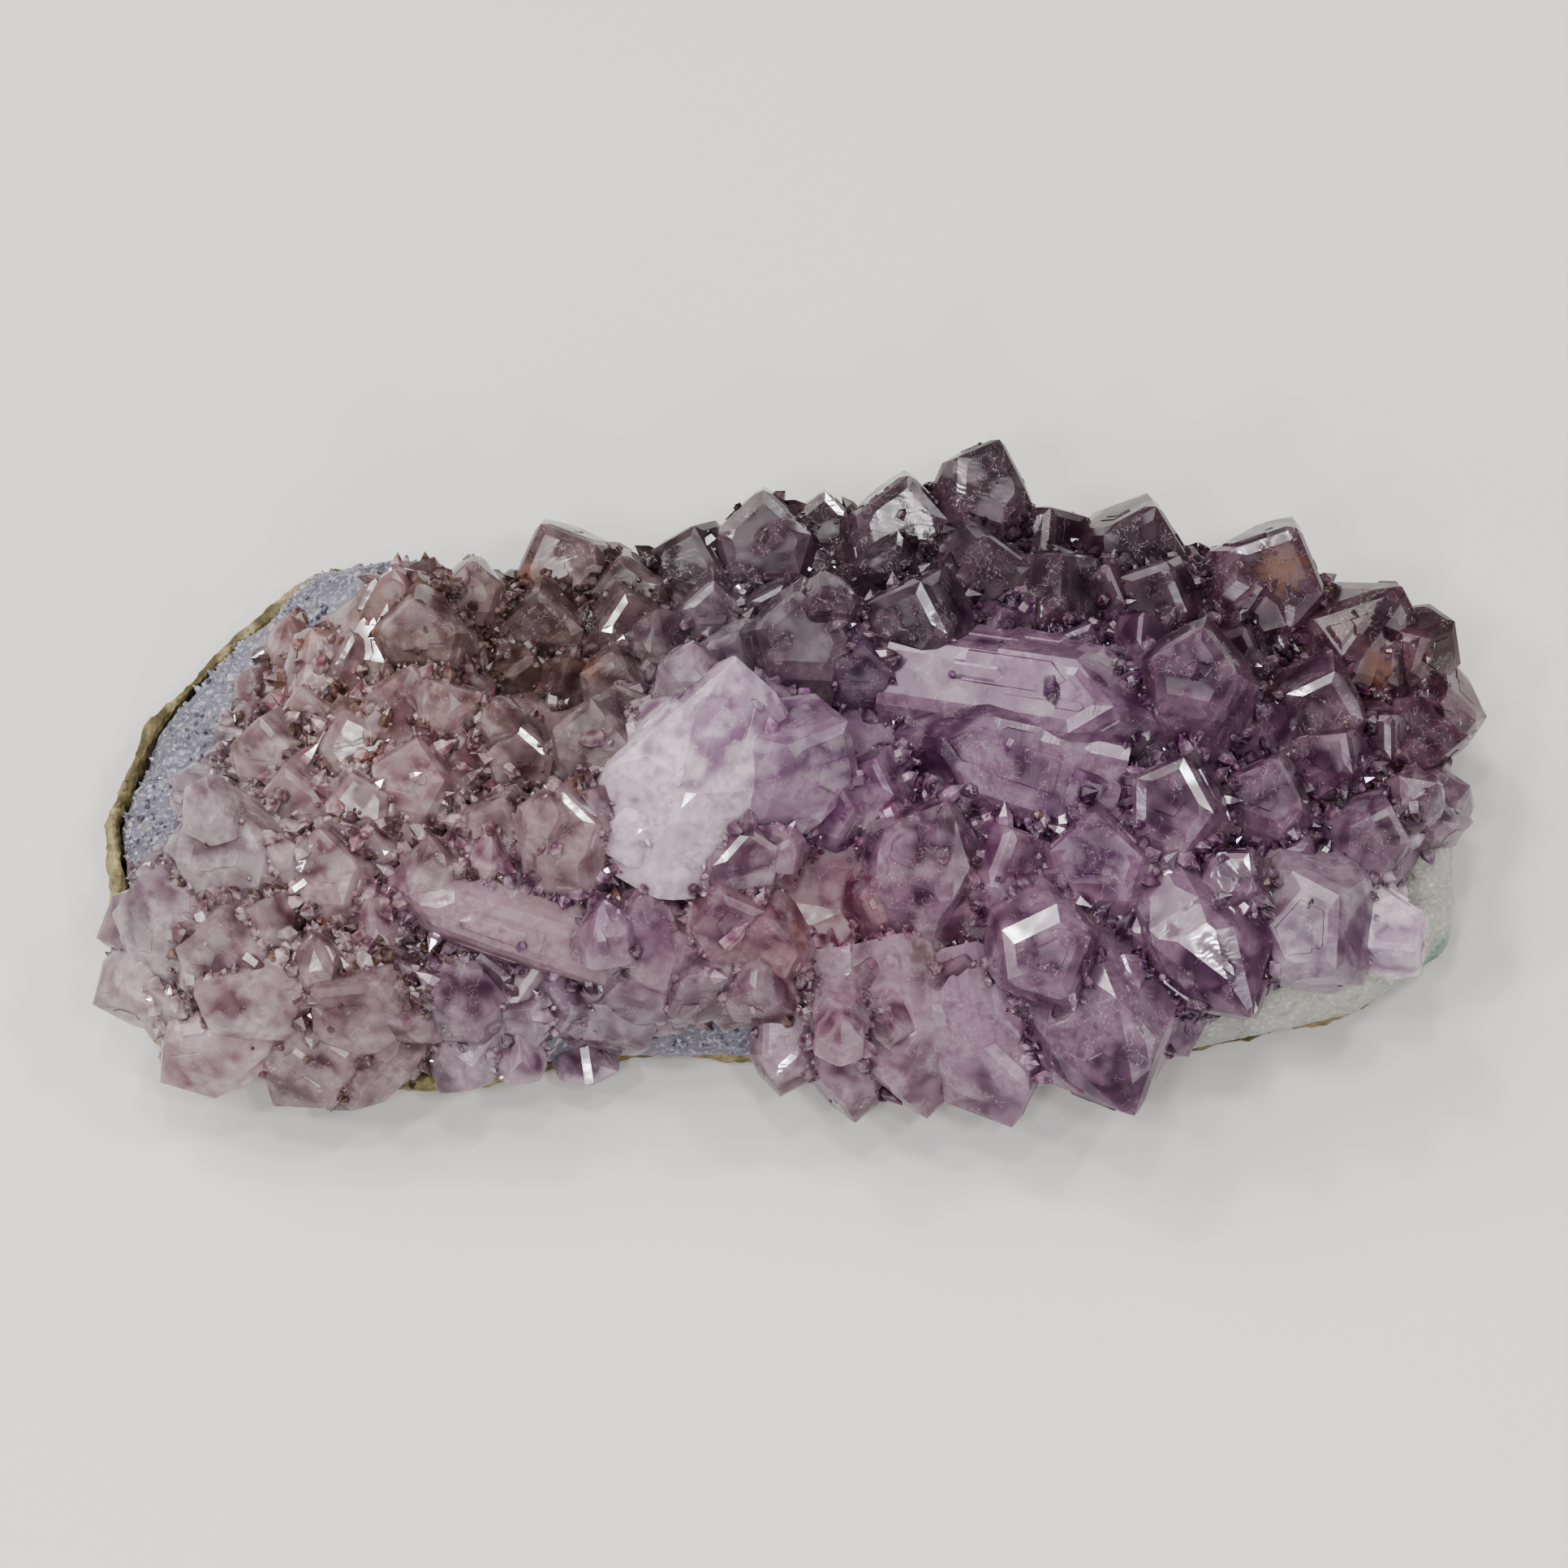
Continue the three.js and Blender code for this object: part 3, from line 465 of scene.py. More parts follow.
def worn_planes(normals, reaches, grow):
    """The planes of the grown body with its edges cut back. The last plane, the root, stays as it is."""
    corners = corners_behind(normals, reaches)
    touching = (abs(corners @ normals.T - reaches) < TOUCHING).astype(int)
    shared = touching.T @ touching
    cuts = []
    for one, other in combinations(range(len(normals) - 1), 2):
        if shared[one, other] < 2:
            continue
        for cut in range(1, EDGE_CUTS + 1):
            share = cut / (EDGE_CUTS + 1)
            cuts.append(unit(normals[one] * (1 - share) + normals[other] * share))
    cuts.append(-normals[-1])
    cuts = np.array(cuts)
    cut_reaches = (corners @ cuts.T).max(axis=0) + WORN_BACK
    grown = reaches + grow
    grown[-1] = reaches[-1]
    return np.vstack([normals, cuts]), np.concatenate([grown, cut_reaches])


cube_normals, cube_reaches = worn_planes(cube_sides, np.ones(6), grow=0.1)
print("with its upper edges worn, the cube has", len(cube_normals), "planes")

# %% Crystals with worn edges
ROOT = 0.8
GROWTH = (0.1, 0.3)
GROWTH_HALVES = (1.5, 5)
HALF_LIMITS = (0.8, 9)
PRISM_LEAN = 0.05
WALL_SPREAD = (0.84, 1.1)
FACE_SPREADS = ((0, 0.1), (0.06, 0.42))


class Crystal:
    """A quartz crystal: its axis, its tip, its heart line, its half width and its faces' planes."""

    def __init__(self, axis, first, second, named):
        self.axis = axis
        outs = [math.cos(STEP * s) * first + math.sin(STEP * s) * second for s in range(SIDES)]
        points = np.vstack([f.points for _, f in named])
        shown = dict(sorted(named, key=lambda pair: pair[1].area))
        self.normals, self.reaches, self.areas = [], [], []
        for kind, lean, slope in (("prism", PRISM_LEAN, 1), ("pyramid", LEAN, SLOPE)):
            for side, out in enumerate(outs):
                facet = shown.get((kind, side))
                normal = facet.normal if facet else unit(out * slope + axis * lean)
                self.normals.append(normal)
                self.reaches.append(facet.reach if facet else (points @ normal).max())
                self.areas.append(facet.area if facet else 0)
        self.normals.append(-axis)
        self.reaches.append(ROOT - (points @ axis).min())
        self.finish_planes(outs, [("prism", s) in shown for s in range(SIDES)])

    @classmethod
    def from_tip(cls, tip, axis, first, second, half, length):
        """A crystal of regular form, with the uneven faces of a real one."""
        made = cls.__new__(cls)
        made.axis = axis
        outs = [math.cos(STEP * s) * first + math.sin(STEP * s) * second for s in range(SIDES)]
        made.normals = [unit(out + axis * PRISM_LEAN) for out in outs]
        made.normals += [out * SLOPE + axis * LEAN for out in outs] + [-axis]
        offsets = [half * chance.uniform(*WALL_SPREAD) for _ in outs]
        offsets += [-half * chance.uniform(*FACE_SPREADS[s % 2]) for s in range(SIDES)]
        made.reaches = [normal @ tip + offset for normal, offset in zip(made.normals, offsets)]
        made.reaches.append(length - axis @ tip)
        made.areas = [half * length] * SIDES + [half * half] * SIDES
        made.finish_planes(outs, [True] * SIDES)
        return made

    def finish_planes(self, outs, prism_shown):
        """Works out the tip, the heart, the half width, and the sharp and worn corners."""
        self.normals, self.reaches = np.array(self.normals), np.array(self.reaches)
        corners = corners_behind(self.normals, self.reaches)
        self.tip = corners[(corners @ self.axis).argmax()]
        walls = self.reaches[:SIDES] - self.normals[:SIDES] @ self.tip
        self.heart = self.tip + sum(wall * out for wall, out in zip(walls, outs)) / 3
        measured = [wall for wall, is_shown in zip(walls, prism_shown) if is_shown]
        self.half = float(np.clip(np.mean(measured if measured else walls), *HALF_LIMITS))
        self.grow = np.interp(self.half, GROWTH_HALVES, GROWTH)
        self.sharp = corners
        worn = worn_planes(self.normals, self.reaches, self.grow)
        self.body = corners_behind(*worn, inside=corners.mean(axis=0))


crystals = [Crystal(*planes) for planes in found]
halves = [crystal.half for crystal in crystals]
print("half widths from", round(min(halves), 1), "to", round(max(halves), 1), "mm")

# %% [markdown]
# ## Growth plates and side crystals
#
# Quartz grows in steps. A face carries low plateaus with the outline of the face itself, and smaller
# crystals grow beside it, turned the same way. Both have one simple recipe: shrink the crystal towards
# a point on one of its faces and push the copy out a little. A shrunken copy of a convex body stays
# inside the body, so only the pushed-out plateau shows, with the right angles all round.

# %% Plates
PLATES = (3, 12)
PLATE_AREAS = (10, 160)
PLATE_SHARE = (0.08, 0.6)
PLATE_SKEW = 1.4
PLATE_RISE = (0.03, 0.11)
PLATE_SPREAD = 0.7

chance = np.random.default_rng(7)


def point_on_face(crystal, face, spread):
    """A point on a sharp face: a random mix of the face's own corners."""
    on_face = abs(crystal.sharp @ crystal.normals[face] - crystal.reaches[face]) < TOUCHING
    corners = crystal.sharp[on_face]
    return chance.dirichlet(np.full(len(corners), spread)) @ corners


def plates_on(crystal):
    """Sharp shrunken copies that rise a little out of the faces that show."""
    shares = np.array(crystal.areas) / sum(crystal.areas)
    thickening = np.interp(crystal.half, (1, 5), (0.6, 1.3))
    for _ in range(int(np.interp(sum(crystal.areas), PLATE_AREAS, PLATES))):
        face = chance.choice(len(shares), p=shares)
        share = chance.uniform(*PLATE_SHARE) ** PLATE_SKEW
        rise = crystal.grow + chance.uniform(*PLATE_RISE) * thickening
        anchor = point_on_face(crystal, face, PLATE_SPREAD)
        yield anchor + (crystal.sharp - anchor) * share + crystal.normals[face] * rise


print("a large crystal gets", PLATES[1], "plates, a small one", PLATES[0])

# %% Side crystals
SIDE_COUNTS = (1, 4)
SIDE_SHARE = (0.2, 0.42)
SIDE_PUSH = (0.3, 0.75)
SIDE_DROP = 0.2
SIDE_SPREAD = 0.8
BEARING_HALF = 2.2
BEARING_WALLS = 4


def side_crystals(crystal):
    """Smaller worn crystals beside the prism faces, turned the same way."""
    walls = np.array(crystal.areas[:SIDES])
    if crystal.half < BEARING_HALF or walls.sum() < BEARING_WALLS:
        return
    for _ in range(int(chance.integers(*SIDE_COUNTS))):
        face = chance.choice(SIDES, p=walls / walls.sum())
        share = chance.uniform(*SIDE_SHARE)
        anchor = point_on_face(crystal, face, SIDE_SPREAD)
        push = crystal.normals[face] * share * chance.uniform(*SIDE_PUSH) - crystal.axis * SIDE_DROP
        yield anchor + (crystal.body - anchor) * share + push * crystal.half


bearing = [c for c in crystals if c.half >= BEARING_HALF]
print(len(bearing), "crystals are wide enough to bear side crystals")

# %% [markdown]
# ## The small crystals between the large ones
#
# The solid leaves out the crystals of two to five millimetres that fill the gaps. The ones that can be
# told apart in the picture are listed one by one: where the tip shows, where the foot shows, how far the
# tip rises towards the viewer, and the width. A line of sight from the camera finds the stone under
# the foot, so each one stands on what carries it.

# %% Small crystals, listed one by one
SMALL_CRYSTALS = [
    ((-25.8, 8.2), (-25.6, 5.4), 5, 4.4), ((-38.6, 13.4), (-38.2, 11), 2.6, 3.6),
    ((-43.4, 1), (-43.2, -1.8), 3.6, 3.8), ((-41.2, 9.6), (-40.8, 7.4), 2.8, 3.4),
    ((-41.4, 6.6), (-41, 5), 2.4, 3.2), ((-48.4, -4.4), (-48, -6.2), 2.4, 3.4),
    ((-35.4, -10.6), (-35.2, -13.6), 4.2, 4.4), ((-26.6, -3.4), (-26.2, -6.4), 3.6, 4.6),
    ((-21.6, 6.4), (-21.4, 4), 5, 3.2), ((-17.6, -0.4), (-18, -2.6), 3.4, 3.4),
    ((-16.4, 9.6), (-16.6, 7.6), 4, 3.8), ((-24.2, 9), (-24, 7), 4, 3.4),
    ((-27, -10.8), (-27, -13), 2.4, 4.2), ((-13.6, -7.6), (-13.2, -11), 4, 4.6),
    ((-6.8, 11), (-7, 8), 4, 4.2), ((-9.4, 13.6), (-9.2, 10.6), 4.6, 4.6),
    ((3, 15.8), (3.2, 13.4), 5, 4), ((-24, 17.9), (-24, 15.2), 4, 4.4),
    ((49.8, 0), (47.2, -1.8), 5, 3.8), ((34.8, -4.8), (33.6, -7.8), 5.4, 4.4),
    ((-19.9, -18.4), (-20, -20.2), 2.4, 3.8), ((-15.6, -18.6), (-15.4, -20.2), 1.8, 4.4),
    ((4.4, -16.6), (4.2, -18.6), 3, 3), ((0.6, -2.8), (0.2, -4.6), 2, 2.4),
    ((-30.9, 6), (-31, 4.6), 2, 2), ((-22, -3.6), (-22.2, -5.8), 3, 3.4),
]
SMALL_ROOT = 1.6
SIGHT_START = 100
RIGHT = np.array([1.0, 0, 0])
UP = np.cross(TOWARDS_CAMERA, RIGHT)
ANY_WAY = (0.3, 0.5, 0.8)
stones = [BVHTree.FromBMesh(crust_mesh), *hosts]


def stone_at(seen):
    """The point of the stone that shows at a place on the picture plane, in millimetres."""
    on_plane = PICTURE_MIDDLE + RIGHT * seen[0] + UP * seen[1]
    start = Vector((on_plane + TOWARDS_CAMERA * SIGHT_START) * MM)
    hits = [stone.ray_cast(start, Vector(-TOWARDS_CAMERA)) for stone in stones]
    if all(hit[0] is None for hit in hits):
        print("just beside the stone:", seen)
        hits = [stone.find_nearest(Vector(on_plane * MM)) for stone in stones]
    nearest = min((hit for hit in hits if hit[0] is not None), key=lambda hit: hit[3])
    return np.array(nearest[0]) / MM


def small_crystal(tip_seen, foot_seen, rise, wide):
    """A crystal that stands on the stone, with its tip and its foot where they show."""
    foot = stone_at(foot_seen)
    shift = np.array(tip_seen) - np.array(foot_seen)
    depth = (rise - shift[1] * math.cos(VIEW_HEIGHT)) / math.sin(VIEW_HEIGHT)
    tip = foot + RIGHT * shift[0] + UP * shift[1] + TOWARDS_CAMERA * depth
    axis = unit(tip - foot)
    first = unit(np.cross(axis, ANY_WAY))
    second = np.cross(axis, first)
    turn = chance.uniform(0, math.tau)
    turned_first = first * math.cos(turn) + second * math.sin(turn)
    turned_second = second * math.cos(turn) - first * math.sin(turn)
    length = math.dist(tip, foot) + SMALL_ROOT
    return Crystal.from_tip(tip, axis, turned_first, turned_second, wide / 2, length)


crystals += [small_crystal(*seen) for seen in SMALL_CRYSTALS]
print(len(crystals), "crystals with the small ones")

# %% [markdown]
# ## Joining everything into one crust
#
# The crystals of a crust are grown together, so they must be one closed body: light that enters one
# crystal leaves through its neighbour, with no wall between. A voxel remesh would join them as well,
# but it would blur every edge. Blender's Boolean with the Manifold solver keeps them sharp, and joins a
# whole collection of closed bodies in one go. The solid crust itself is the first of them, so the bed,
# the cut underside and the smallest fragments come along unchanged.

# %% Bodies
JOIN_WITHIN = 3e-6


def body_mesh(points):
    """The closed hull of a body's corners."""
    mesh = bmesh.new()
    for point in points:
        mesh.verts.new(Vector(point * MM))
    bmesh.ops.remove_doubles(mesh, verts=mesh.verts, dist=JOIN_WITHIN)
    bmesh.ops.convex_hull(mesh, input=mesh.verts)
    loose = [v for v in mesh.verts if not v.link_faces]
    bmesh.ops.delete(mesh, geom=loose, context="VERTS")
    bmesh.ops.recalc_face_normals(mesh, faces=mesh.faces)
    return mesh


def new_piece(name, mesh):
    """A new object in the scene that shows a mesh."""
    piece = bpy.data.objects.new(name, mesh)
    bpy.context.scene.collection.objects.link(piece)
    return piece


print("the first crystal's body has", len(body_mesh(crystals[0].body).faces), "triangles")

# %% Join the crust
CAD_ITSELF = -1


class Pile:
    """A collection of closed bodies to join, and a record of whose every face is."""

    def __init__(self):
        self.collection = bpy.data.collections.new("pile")
        bpy.context.scene.collection.children.link(self.collection)
        self.corners, self.faces, self.owners = [], [], []

    def add(self, mesh, owner):
        """Puts a closed body on the pile."""
        start = len(self.corners)
        mesh.verts.index_update()
        self.corners += [v.co.copy() for v in mesh.verts]
        self.faces += [[start + v.index for v in face.verts] for face in mesh.faces]
        self.owners += [owner] * len(mesh.faces)
        data = bpy.data.meshes.new("body")
        mesh.to_mesh(data)
        self.collection.objects.link(bpy.data.objects.new("body", data))

    def joined(self, name):
        """One closed mesh of all the bodies, with the owner of each of its faces."""
        whole = self.collection.objects[0]
        self.collection.objects.unlink(whole)
        bpy.context.scene.collection.objects.link(whole)
        join = whole.modifiers.new("join", "BOOLEAN")
        join.operation = "UNION"
        join.operand_type = "COLLECTION"
        join.collection = self.collection
        join.solver = "MANIFOLD"
        depsgraph = bpy.context.evaluated_depsgraph_get()
        mesh = bpy.data.meshes.new_from_object(whole.evaluated_get(depsgraph))
        mesh.name = name
        for thing in [whole, *self.collection.objects]:
            bpy.data.meshes.remove(thing.data)
        bpy.data.collections.remove(self.collection)
        finder = BVHTree.FromPolygons(self.corners, self.faces)
        owners = [self.owners[finder.find_nearest(face.center)[2]] for face in mesh.polygons]
        return mesh, owners


pile = Pile()
pile.add(crust_mesh, CAD_ITSELF)
for number, crystal in enumerate(crystals):
    for points in (crystal.body, *plates_on(crystal), *side_crystals(crystal)):
        pile.add(body_mesh(points), number)
crust_data, owners = pile.joined("crystal_crust")
crust = new_piece("crystal_crust", crust_data)
print("the crust has", len(crust_data.vertices), "corners and", len(crust_data.polygons), "faces")

# %% [markdown]
# ## Colour clouds
#
# Amethyst is never one purple. The colour sits in the heart of each crystal and fades to clear or milky
# quartz at its rim, and it drifts over the specimen: pale pink and stained on the left, smoky and
# darkened with painted shade in the hollow behind, white in the middle, and full violet on the right.
# A picture laid over the stone would smear down its sides, so a crystal gets its colours as a whole. Each
# cloud below has a place on the picture plane, a spread, the colours of heart and rim, and how milky it
# is. A crystal takes a mix of the clouds that it stands in, and keeps that mix all round.

# %% Colour clouds
FAR_WEIGHT = 1e-9


def paint(red, green, blue):
    """A colour as it is picked on a screen, 0 to 255, turned into the linear values of a shader."""
    levels = np.array([red, green, blue]) / 255
    return np.where(levels <= 0.04045, levels / 12.92, ((levels + 0.055) / 1.055) ** 2.4)


class Cloud:
    """A look with a place on the picture plane. Its weight falls off like a bell."""

    def __init__(self, place, spread, heart, rim, milk):
        self.place, self.spread = np.array(place), np.array(spread)
        self.look = np.concatenate([paint(*heart), paint(*rim), [milk]])

    def weight(self, seen):
        return math.exp(-0.5 * (((seen - self.place) / self.spread) ** 2).sum()) + FAR_WEIGHT


CLOUDS = {
    "pale left end": Cloud((-47, -3), (5, 9), (118, 104, 118), (190, 180, 188), 0.5),
    "stained pink corner": Cloud((-31, 9), (7, 7), (132, 86, 88), (196, 170, 164), 0.5),
    "pink lower left": Cloud((-40, -12), (8, 8), (148, 106, 114), (218, 194, 196), 0.55),
    "brown lower left": Cloud((-33, -17.5), (5, 4), (54, 28, 28), (112, 80, 78), 0.1),
    "rose middle left": Cloud((-27, -3), (7, 6), (136, 92, 108), (208, 180, 184), 0.5),
    # The hollow's dark colours are partly smoky quartz and partly painted shade for the recess between
    # the crystals.
    "smoky hollow in painted shade": Cloud((-18, 12), (6, 7), (66, 44, 40), (132, 110, 104), 0.15),
    "lying crystal": Cloud((-22, -11.5), (7.5, 4.5), (76, 36, 82), (132, 98, 130), 0.12),
    "white heart": Cloud((-6.5, 2), (4.5, 7), (142, 112, 138), (204, 188, 198), 0.65),
    "lavender on the heart": Cloud((1.5, 2), (3, 4), (126, 84, 126), (184, 154, 180), 0.5),
    "lower middle": Cloud((5, -18), (6, 3.5), (88, 48, 72), (150, 114, 130), 0.25),
    "rose middle": Cloud((2, -10), (9, 6), (112, 58, 80), (172, 130, 140), 0.35),
    "smoky back edge": Cloud((2, 18), (16, 4.5), (48, 28, 38), (96, 74, 84), 0.1),
    "violet ridge": Cloud((18, 3), (10, 6), (88, 48, 88), (156, 124, 152), 0.3),
    "violet field": Cloud((38, 0), (11, 9), (78, 36, 72), (142, 106, 128), 0.25),
    "dark upper right": Cloud((38, 15), (9, 4), (50, 24, 36), (96, 66, 80), 0.1),
    "red right end": Cloud((49, 9), (5, 6), (58, 22, 34), (108, 70, 80), 0.1),
    "lower right": Cloud((28, -16), (10, 6), (76, 36, 74), (152, 120, 144), 0.2),
    "pale lower right": Cloud((48, -12), (5, 5), (150, 118, 148), (220, 208, 214), 0.7),
    "lower edge": Cloud((-10, -19), (14, 4), (112, 80, 98), (200, 182, 192), 0.4),
}


print(len(CLOUDS), "clouds")

# %% The look at a point
HEART_TOSS = 0.35
RIM_TOSS = 0.12


def look_at(point, toss=0.0):
    """The colours and milkiness at a point, with a little chance added."""
    seen = seen_at(point)
    weights = np.array([cloud.weight(seen) for cloud in CLOUDS.values()])
    look = weights @ np.array([cloud.look for cloud in CLOUDS.values()]) / weights.sum()
    look[:3] *= 1 - HEART_TOSS * toss
    look[3:6] *= 1 - RIM_TOSS * toss
    return look


print("milkiness in the middle of the picture", round(look_at(PICTURE_MIDDLE)[6], 2))

# %% [markdown]
# ## Looks written on the faces
#
# A material can't look up a list of crystals, but it can read attributes: named values that a mesh
# carries on its faces. So each face of the crust gets its crystal's tip line, axis, half width, colours
# and milkiness. The bed between the crystals takes the look of the clouds where it lies.

# %% Write the looks on the crust's faces
def store(mesh, name, values, domain="FACE"):
    """One number or one vector for each face or point, which the materials read by name."""
    values = np.asarray(values, float)
    kind, slot = ("FLOAT", "value") if values.ndim == 1 else ("FLOAT_VECTOR", "vector")
    layer = mesh.attributes.new(name, kind, domain)
    layer.data.foreach_set(slot, values.ravel())


for crystal in crystals:
    upper_half = (crystal.tip + crystal.sharp.mean(axis=0)) / 2
    crystal.look = look_at(upper_half, chance.uniform(-1, 1))

BED_GIRTH = 60.0
hearts, axes, girths, looks = [], [], [], []
for face, owner in zip(crust_data.polygons, owners):
    if owner == CAD_ITSELF:
        middle = np.array(face.center) / MM
        hearts.append(middle)
        axes.append((0, 0, 1))
        girths.append(BED_GIRTH)
        looks.append(look_at(middle))
    else:
        crystal = crystals[owner]
        hearts.append(crystal.heart)
        axes.append(crystal.axis)
        girths.append(crystal.half)
        looks.append(crystal.look)
looks = np.array(looks)
store(crust_data, "heart", hearts)
store(crust_data, "axis", axes)
store(crust_data, "girth", girths)
store(crust_data, "heart_colour", looks[:, :3])
store(crust_data, "rim_colour", looks[:, 3:6])
store(crust_data, "milk", looks[:, 6])
print("looks stored on", len(looks), "faces")

# %% [markdown]
# ## A workbench for nodes
#
# Materials and Geometry Nodes are trees of small steps. Written out in full, a tree is mostly lines
# that place a node and link it. This bench does both in one call: a value goes into a socket, and
# another node's output is linked to it. The trees below then read like the formulas that they are.

# %% The bench
class Bench:
    """A short way to place nodes in a tree. Values and other nodes' sockets go in the same way."""

    def __init__(self, tree):
        self.tree = tree

    def feed(self, made, key, value):
        """Sets one input of a node: a link for another node's socket, or else a plain value."""
        if isinstance(value, bpy.types.NodeSocket):
            self.tree.links.new(value, made.inputs[key])
        elif value is not None:
            made.inputs[key].default_value = value

    def put(self, kind, inputs=(), out=0, **settings):
        """Places a node, sets its inputs and settings, and gives back one of its outputs."""
        made = self.tree.nodes.new(kind)
        for key, value in settings.items():
            setattr(made, key, value)
        for key, value in inputs.items() if isinstance(inputs, dict) else enumerate(inputs):
            self.feed(made, key, value)
        return made.outputs[out] if made.outputs else made

    def math(self, operation, *values):
        """One step of arithmetic on numbers."""
        return self.put("ShaderNodeMath", values, operation=operation)

    def vector(self, operation, *values, out=0):
        """One step of arithmetic on vectors."""
        return self.put("ShaderNodeVectorMath", values, out, operation=operation)

    def scaled(self, vector, factor):
        """A vector or a colour made longer, shorter, brighter or darker."""
        return self.put("ShaderNodeVectorMath", {0: vector, "Scale": factor}, operation="SCALE")

    def read(self, name, out="Vector"):
        """An attribute that the mesh carries."""
        return self.put("ShaderNodeAttribute", attribute_name=name, out=out)

    def ramp(self, value, low, high, to_low=0.0, to_high=1.0):
        """A smooth change from one value to another."""
        inputs = {"Value": value, "From Min": low, "From Max": high, "To Min": to_low, "To Max": to_high}
        return self.put("ShaderNodeMapRange", inputs, interpolation_type="SMOOTHSTEP")

    def noise(self, place, scale, detail=3.0, distortion=0.0):
        """Soft random values, with the scale in features per millimetre."""
        inputs = {"Vector": place, "Scale": scale, "Detail": detail, "Distortion": distortion}
        return self.put("ShaderNodeTexNoise", inputs)

    def place_group(self, name, **values):
        """A shared group of nodes, with its named inputs set."""
        made = self.tree.nodes.new("ShaderNodeGroup")
        made.node_tree = bpy.data.node_groups[name]
        for key, value in values.items():
            self.feed(made, key.replace("_", " "), value)
        return made

    def blend(self, share, one, other):
        """A mix of two colours: the first at share 0, the second at share 1."""
        return self.put("ShaderNodeMix", {0: share, 6: one, 7: other}, out=2, data_type="RGBA")


print("the bench can", ", ".join(name for name in vars(Bench) if not name.startswith("_")))


# %% Groups and materials
def in_millimetres(bench):
    """Object coordinates in millimetres, so that noise scales read as features per millimetre."""
    place = bench.put("ShaderNodeTexCoord", out="Object")
    return bench.scaled(place, 1 / MM)


def new_group(name, inputs, outputs):
    """A shader node group with named inputs, with their defaults, and named outputs."""
    group = bpy.data.node_groups.new(name, "ShaderNodeTree")
    for key, value in inputs.items():
        socket = group.interface.new_socket(key, in_out="INPUT", socket_type="NodeSocketFloat")
        socket.default_value = value
    for key, kind in outputs.items():
        group.interface.new_socket(key, in_out="OUTPUT", socket_type=kind)
    start = group.nodes.new("NodeGroupInput")
    end = group.nodes.new("NodeGroupOutput")
    return Bench(group), start.outputs, end.inputs


def new_material(name):
    """An empty material, and a bench to fill it."""
    material = bpy.data.materials.new(name)
    material.use_nodes = True
    material.node_tree.nodes.clear()
    return material, Bench(material.node_tree)


def screen_colour(red, green, blue):
    """A colour as it is picked on a screen, with full alpha, for a colour socket."""
    return (*paint(red, green, blue), 1)


print("rind tan as a shader value", [round(level, 3) for level in screen_colour(150, 138, 104)])

# %% [markdown]
# ## Iron stains
#
# Iron in the water that fed the crystals left orange, brown and nearly black spots in many crevices,
# and there are two green spots, the larger one at the right end. Each stain is a place on the stone with
# a reach. A shader that measured the distance to all of them would be slow, so every face stores the
# stain that lies nearest to it, and only one distance is left to measure.

# %% Stains on the faces
RUST = (158, 96, 58)
BROWN = (86, 54, 34)
BLACK = (30, 20, 18)
GREEN = (38, 104, 84)
STAINS = [
    ((-32, 14), 0.9, BROWN), ((-29.2, 9.3), 1.9, BROWN), ((-29, 9.6), 0.9, BLACK),
    ((-36.5, 11), 1.3, RUST), ((-38.5, 6.5), 1.3, RUST), ((-31.6, 1.8), 1.6, RUST),
    ((-33.2, 2.2), 0.8, BLACK), ((-35.1, -10.6), 1.2, RUST), ((-39, -8), 1.4, BROWN),
    ((-33.6, -14.6), 1.8, BROWN), ((-26.8, -11.5), 1.5, BLACK), ((-20, 8.4), 2.6, BROWN),
    ((-21.5, 7.2), 1.3, BLACK), ((-14.6, 9.1), 1.4, RUST), ((-19.5, 16.4), 1.1, RUST),
    ((-8.4, -8.9), 0.8, BLACK), ((-7.9, -10.6), 1.0, BROWN), ((10.2, -13), 1.3, BROWN),
    ((8.6, -13.3), 0.6, BLACK), ((12.7, -12.8), 0.9, BROWN), ((0.9, -11.2), 1.2, RUST),
    ((18.8, 9.8), 0.6, BROWN), ((38.2, 16.6), 1.9, RUST), ((37.3, 7.4), 0.9, BROWN),
    ((5.2, 12), 0.45, GREEN), ((49.9, -13.1), 2.6, GREEN), ((45.5, 9), 1.6, RUST),
    ((-23.4, -1.6), 1.1, BROWN), ((-36, -4), 1.2, BROWN), ((-28.5, -16.5), 1.4, BROWN),
    ((-25, 12), 1.6, BROWN), ((-42, 3), 0.8, BROWN),
]
stain_places = np.array([stone_at(seen) for seen, _, _ in STAINS])
stain_reaches = np.array([reach for _, reach, _ in STAINS])
stain_tones = np.array([paint(*tone) for _, _, tone in STAINS])


def nearest_stain(points):
    """For each group of points, the stain nearest to any of them, counted in its own reaches."""
    away = np.linalg.norm(points[:, :, None] - stain_places, axis=-1) / stain_reaches
    return away.min(axis=1).argmin(axis=1)


def store_stains(mesh):
    """Writes the nearest stain's place, reach and tone on every face."""
    centres = np.array([face.center for face in mesh.polygons])
    first = np.array([mesh.vertices[face.vertices[0]].co for face in mesh.polygons])
    last = np.array([mesh.vertices[face.vertices[-1]].co for face in mesh.polygons])
    stain = nearest_stain(np.stack([centres, first, last], axis=1) / MM)
    store(mesh, "stain_place", stain_places[stain])
    store(mesh, "stain_reach", stain_reaches[stain])
    store(mesh, "stain_tone", stain_tones[stain])


store_stains(crust_data)
print(len(STAINS), "stains placed")

# %% [markdown]
# ## The shape of a stain
#
# A round spot would look painted on. Real iron creeps along grains and cracks, so the distance from the
# stain's middle is changed by the grain of the stone before it is turned into a mask. The crust and the
# agate both have stains, so this is a shared group of nodes that gives a mask and a colour.

# %% The stain group
CRUMBLE = 2.0
STAIN_EDGE = (1.35, 0.2)

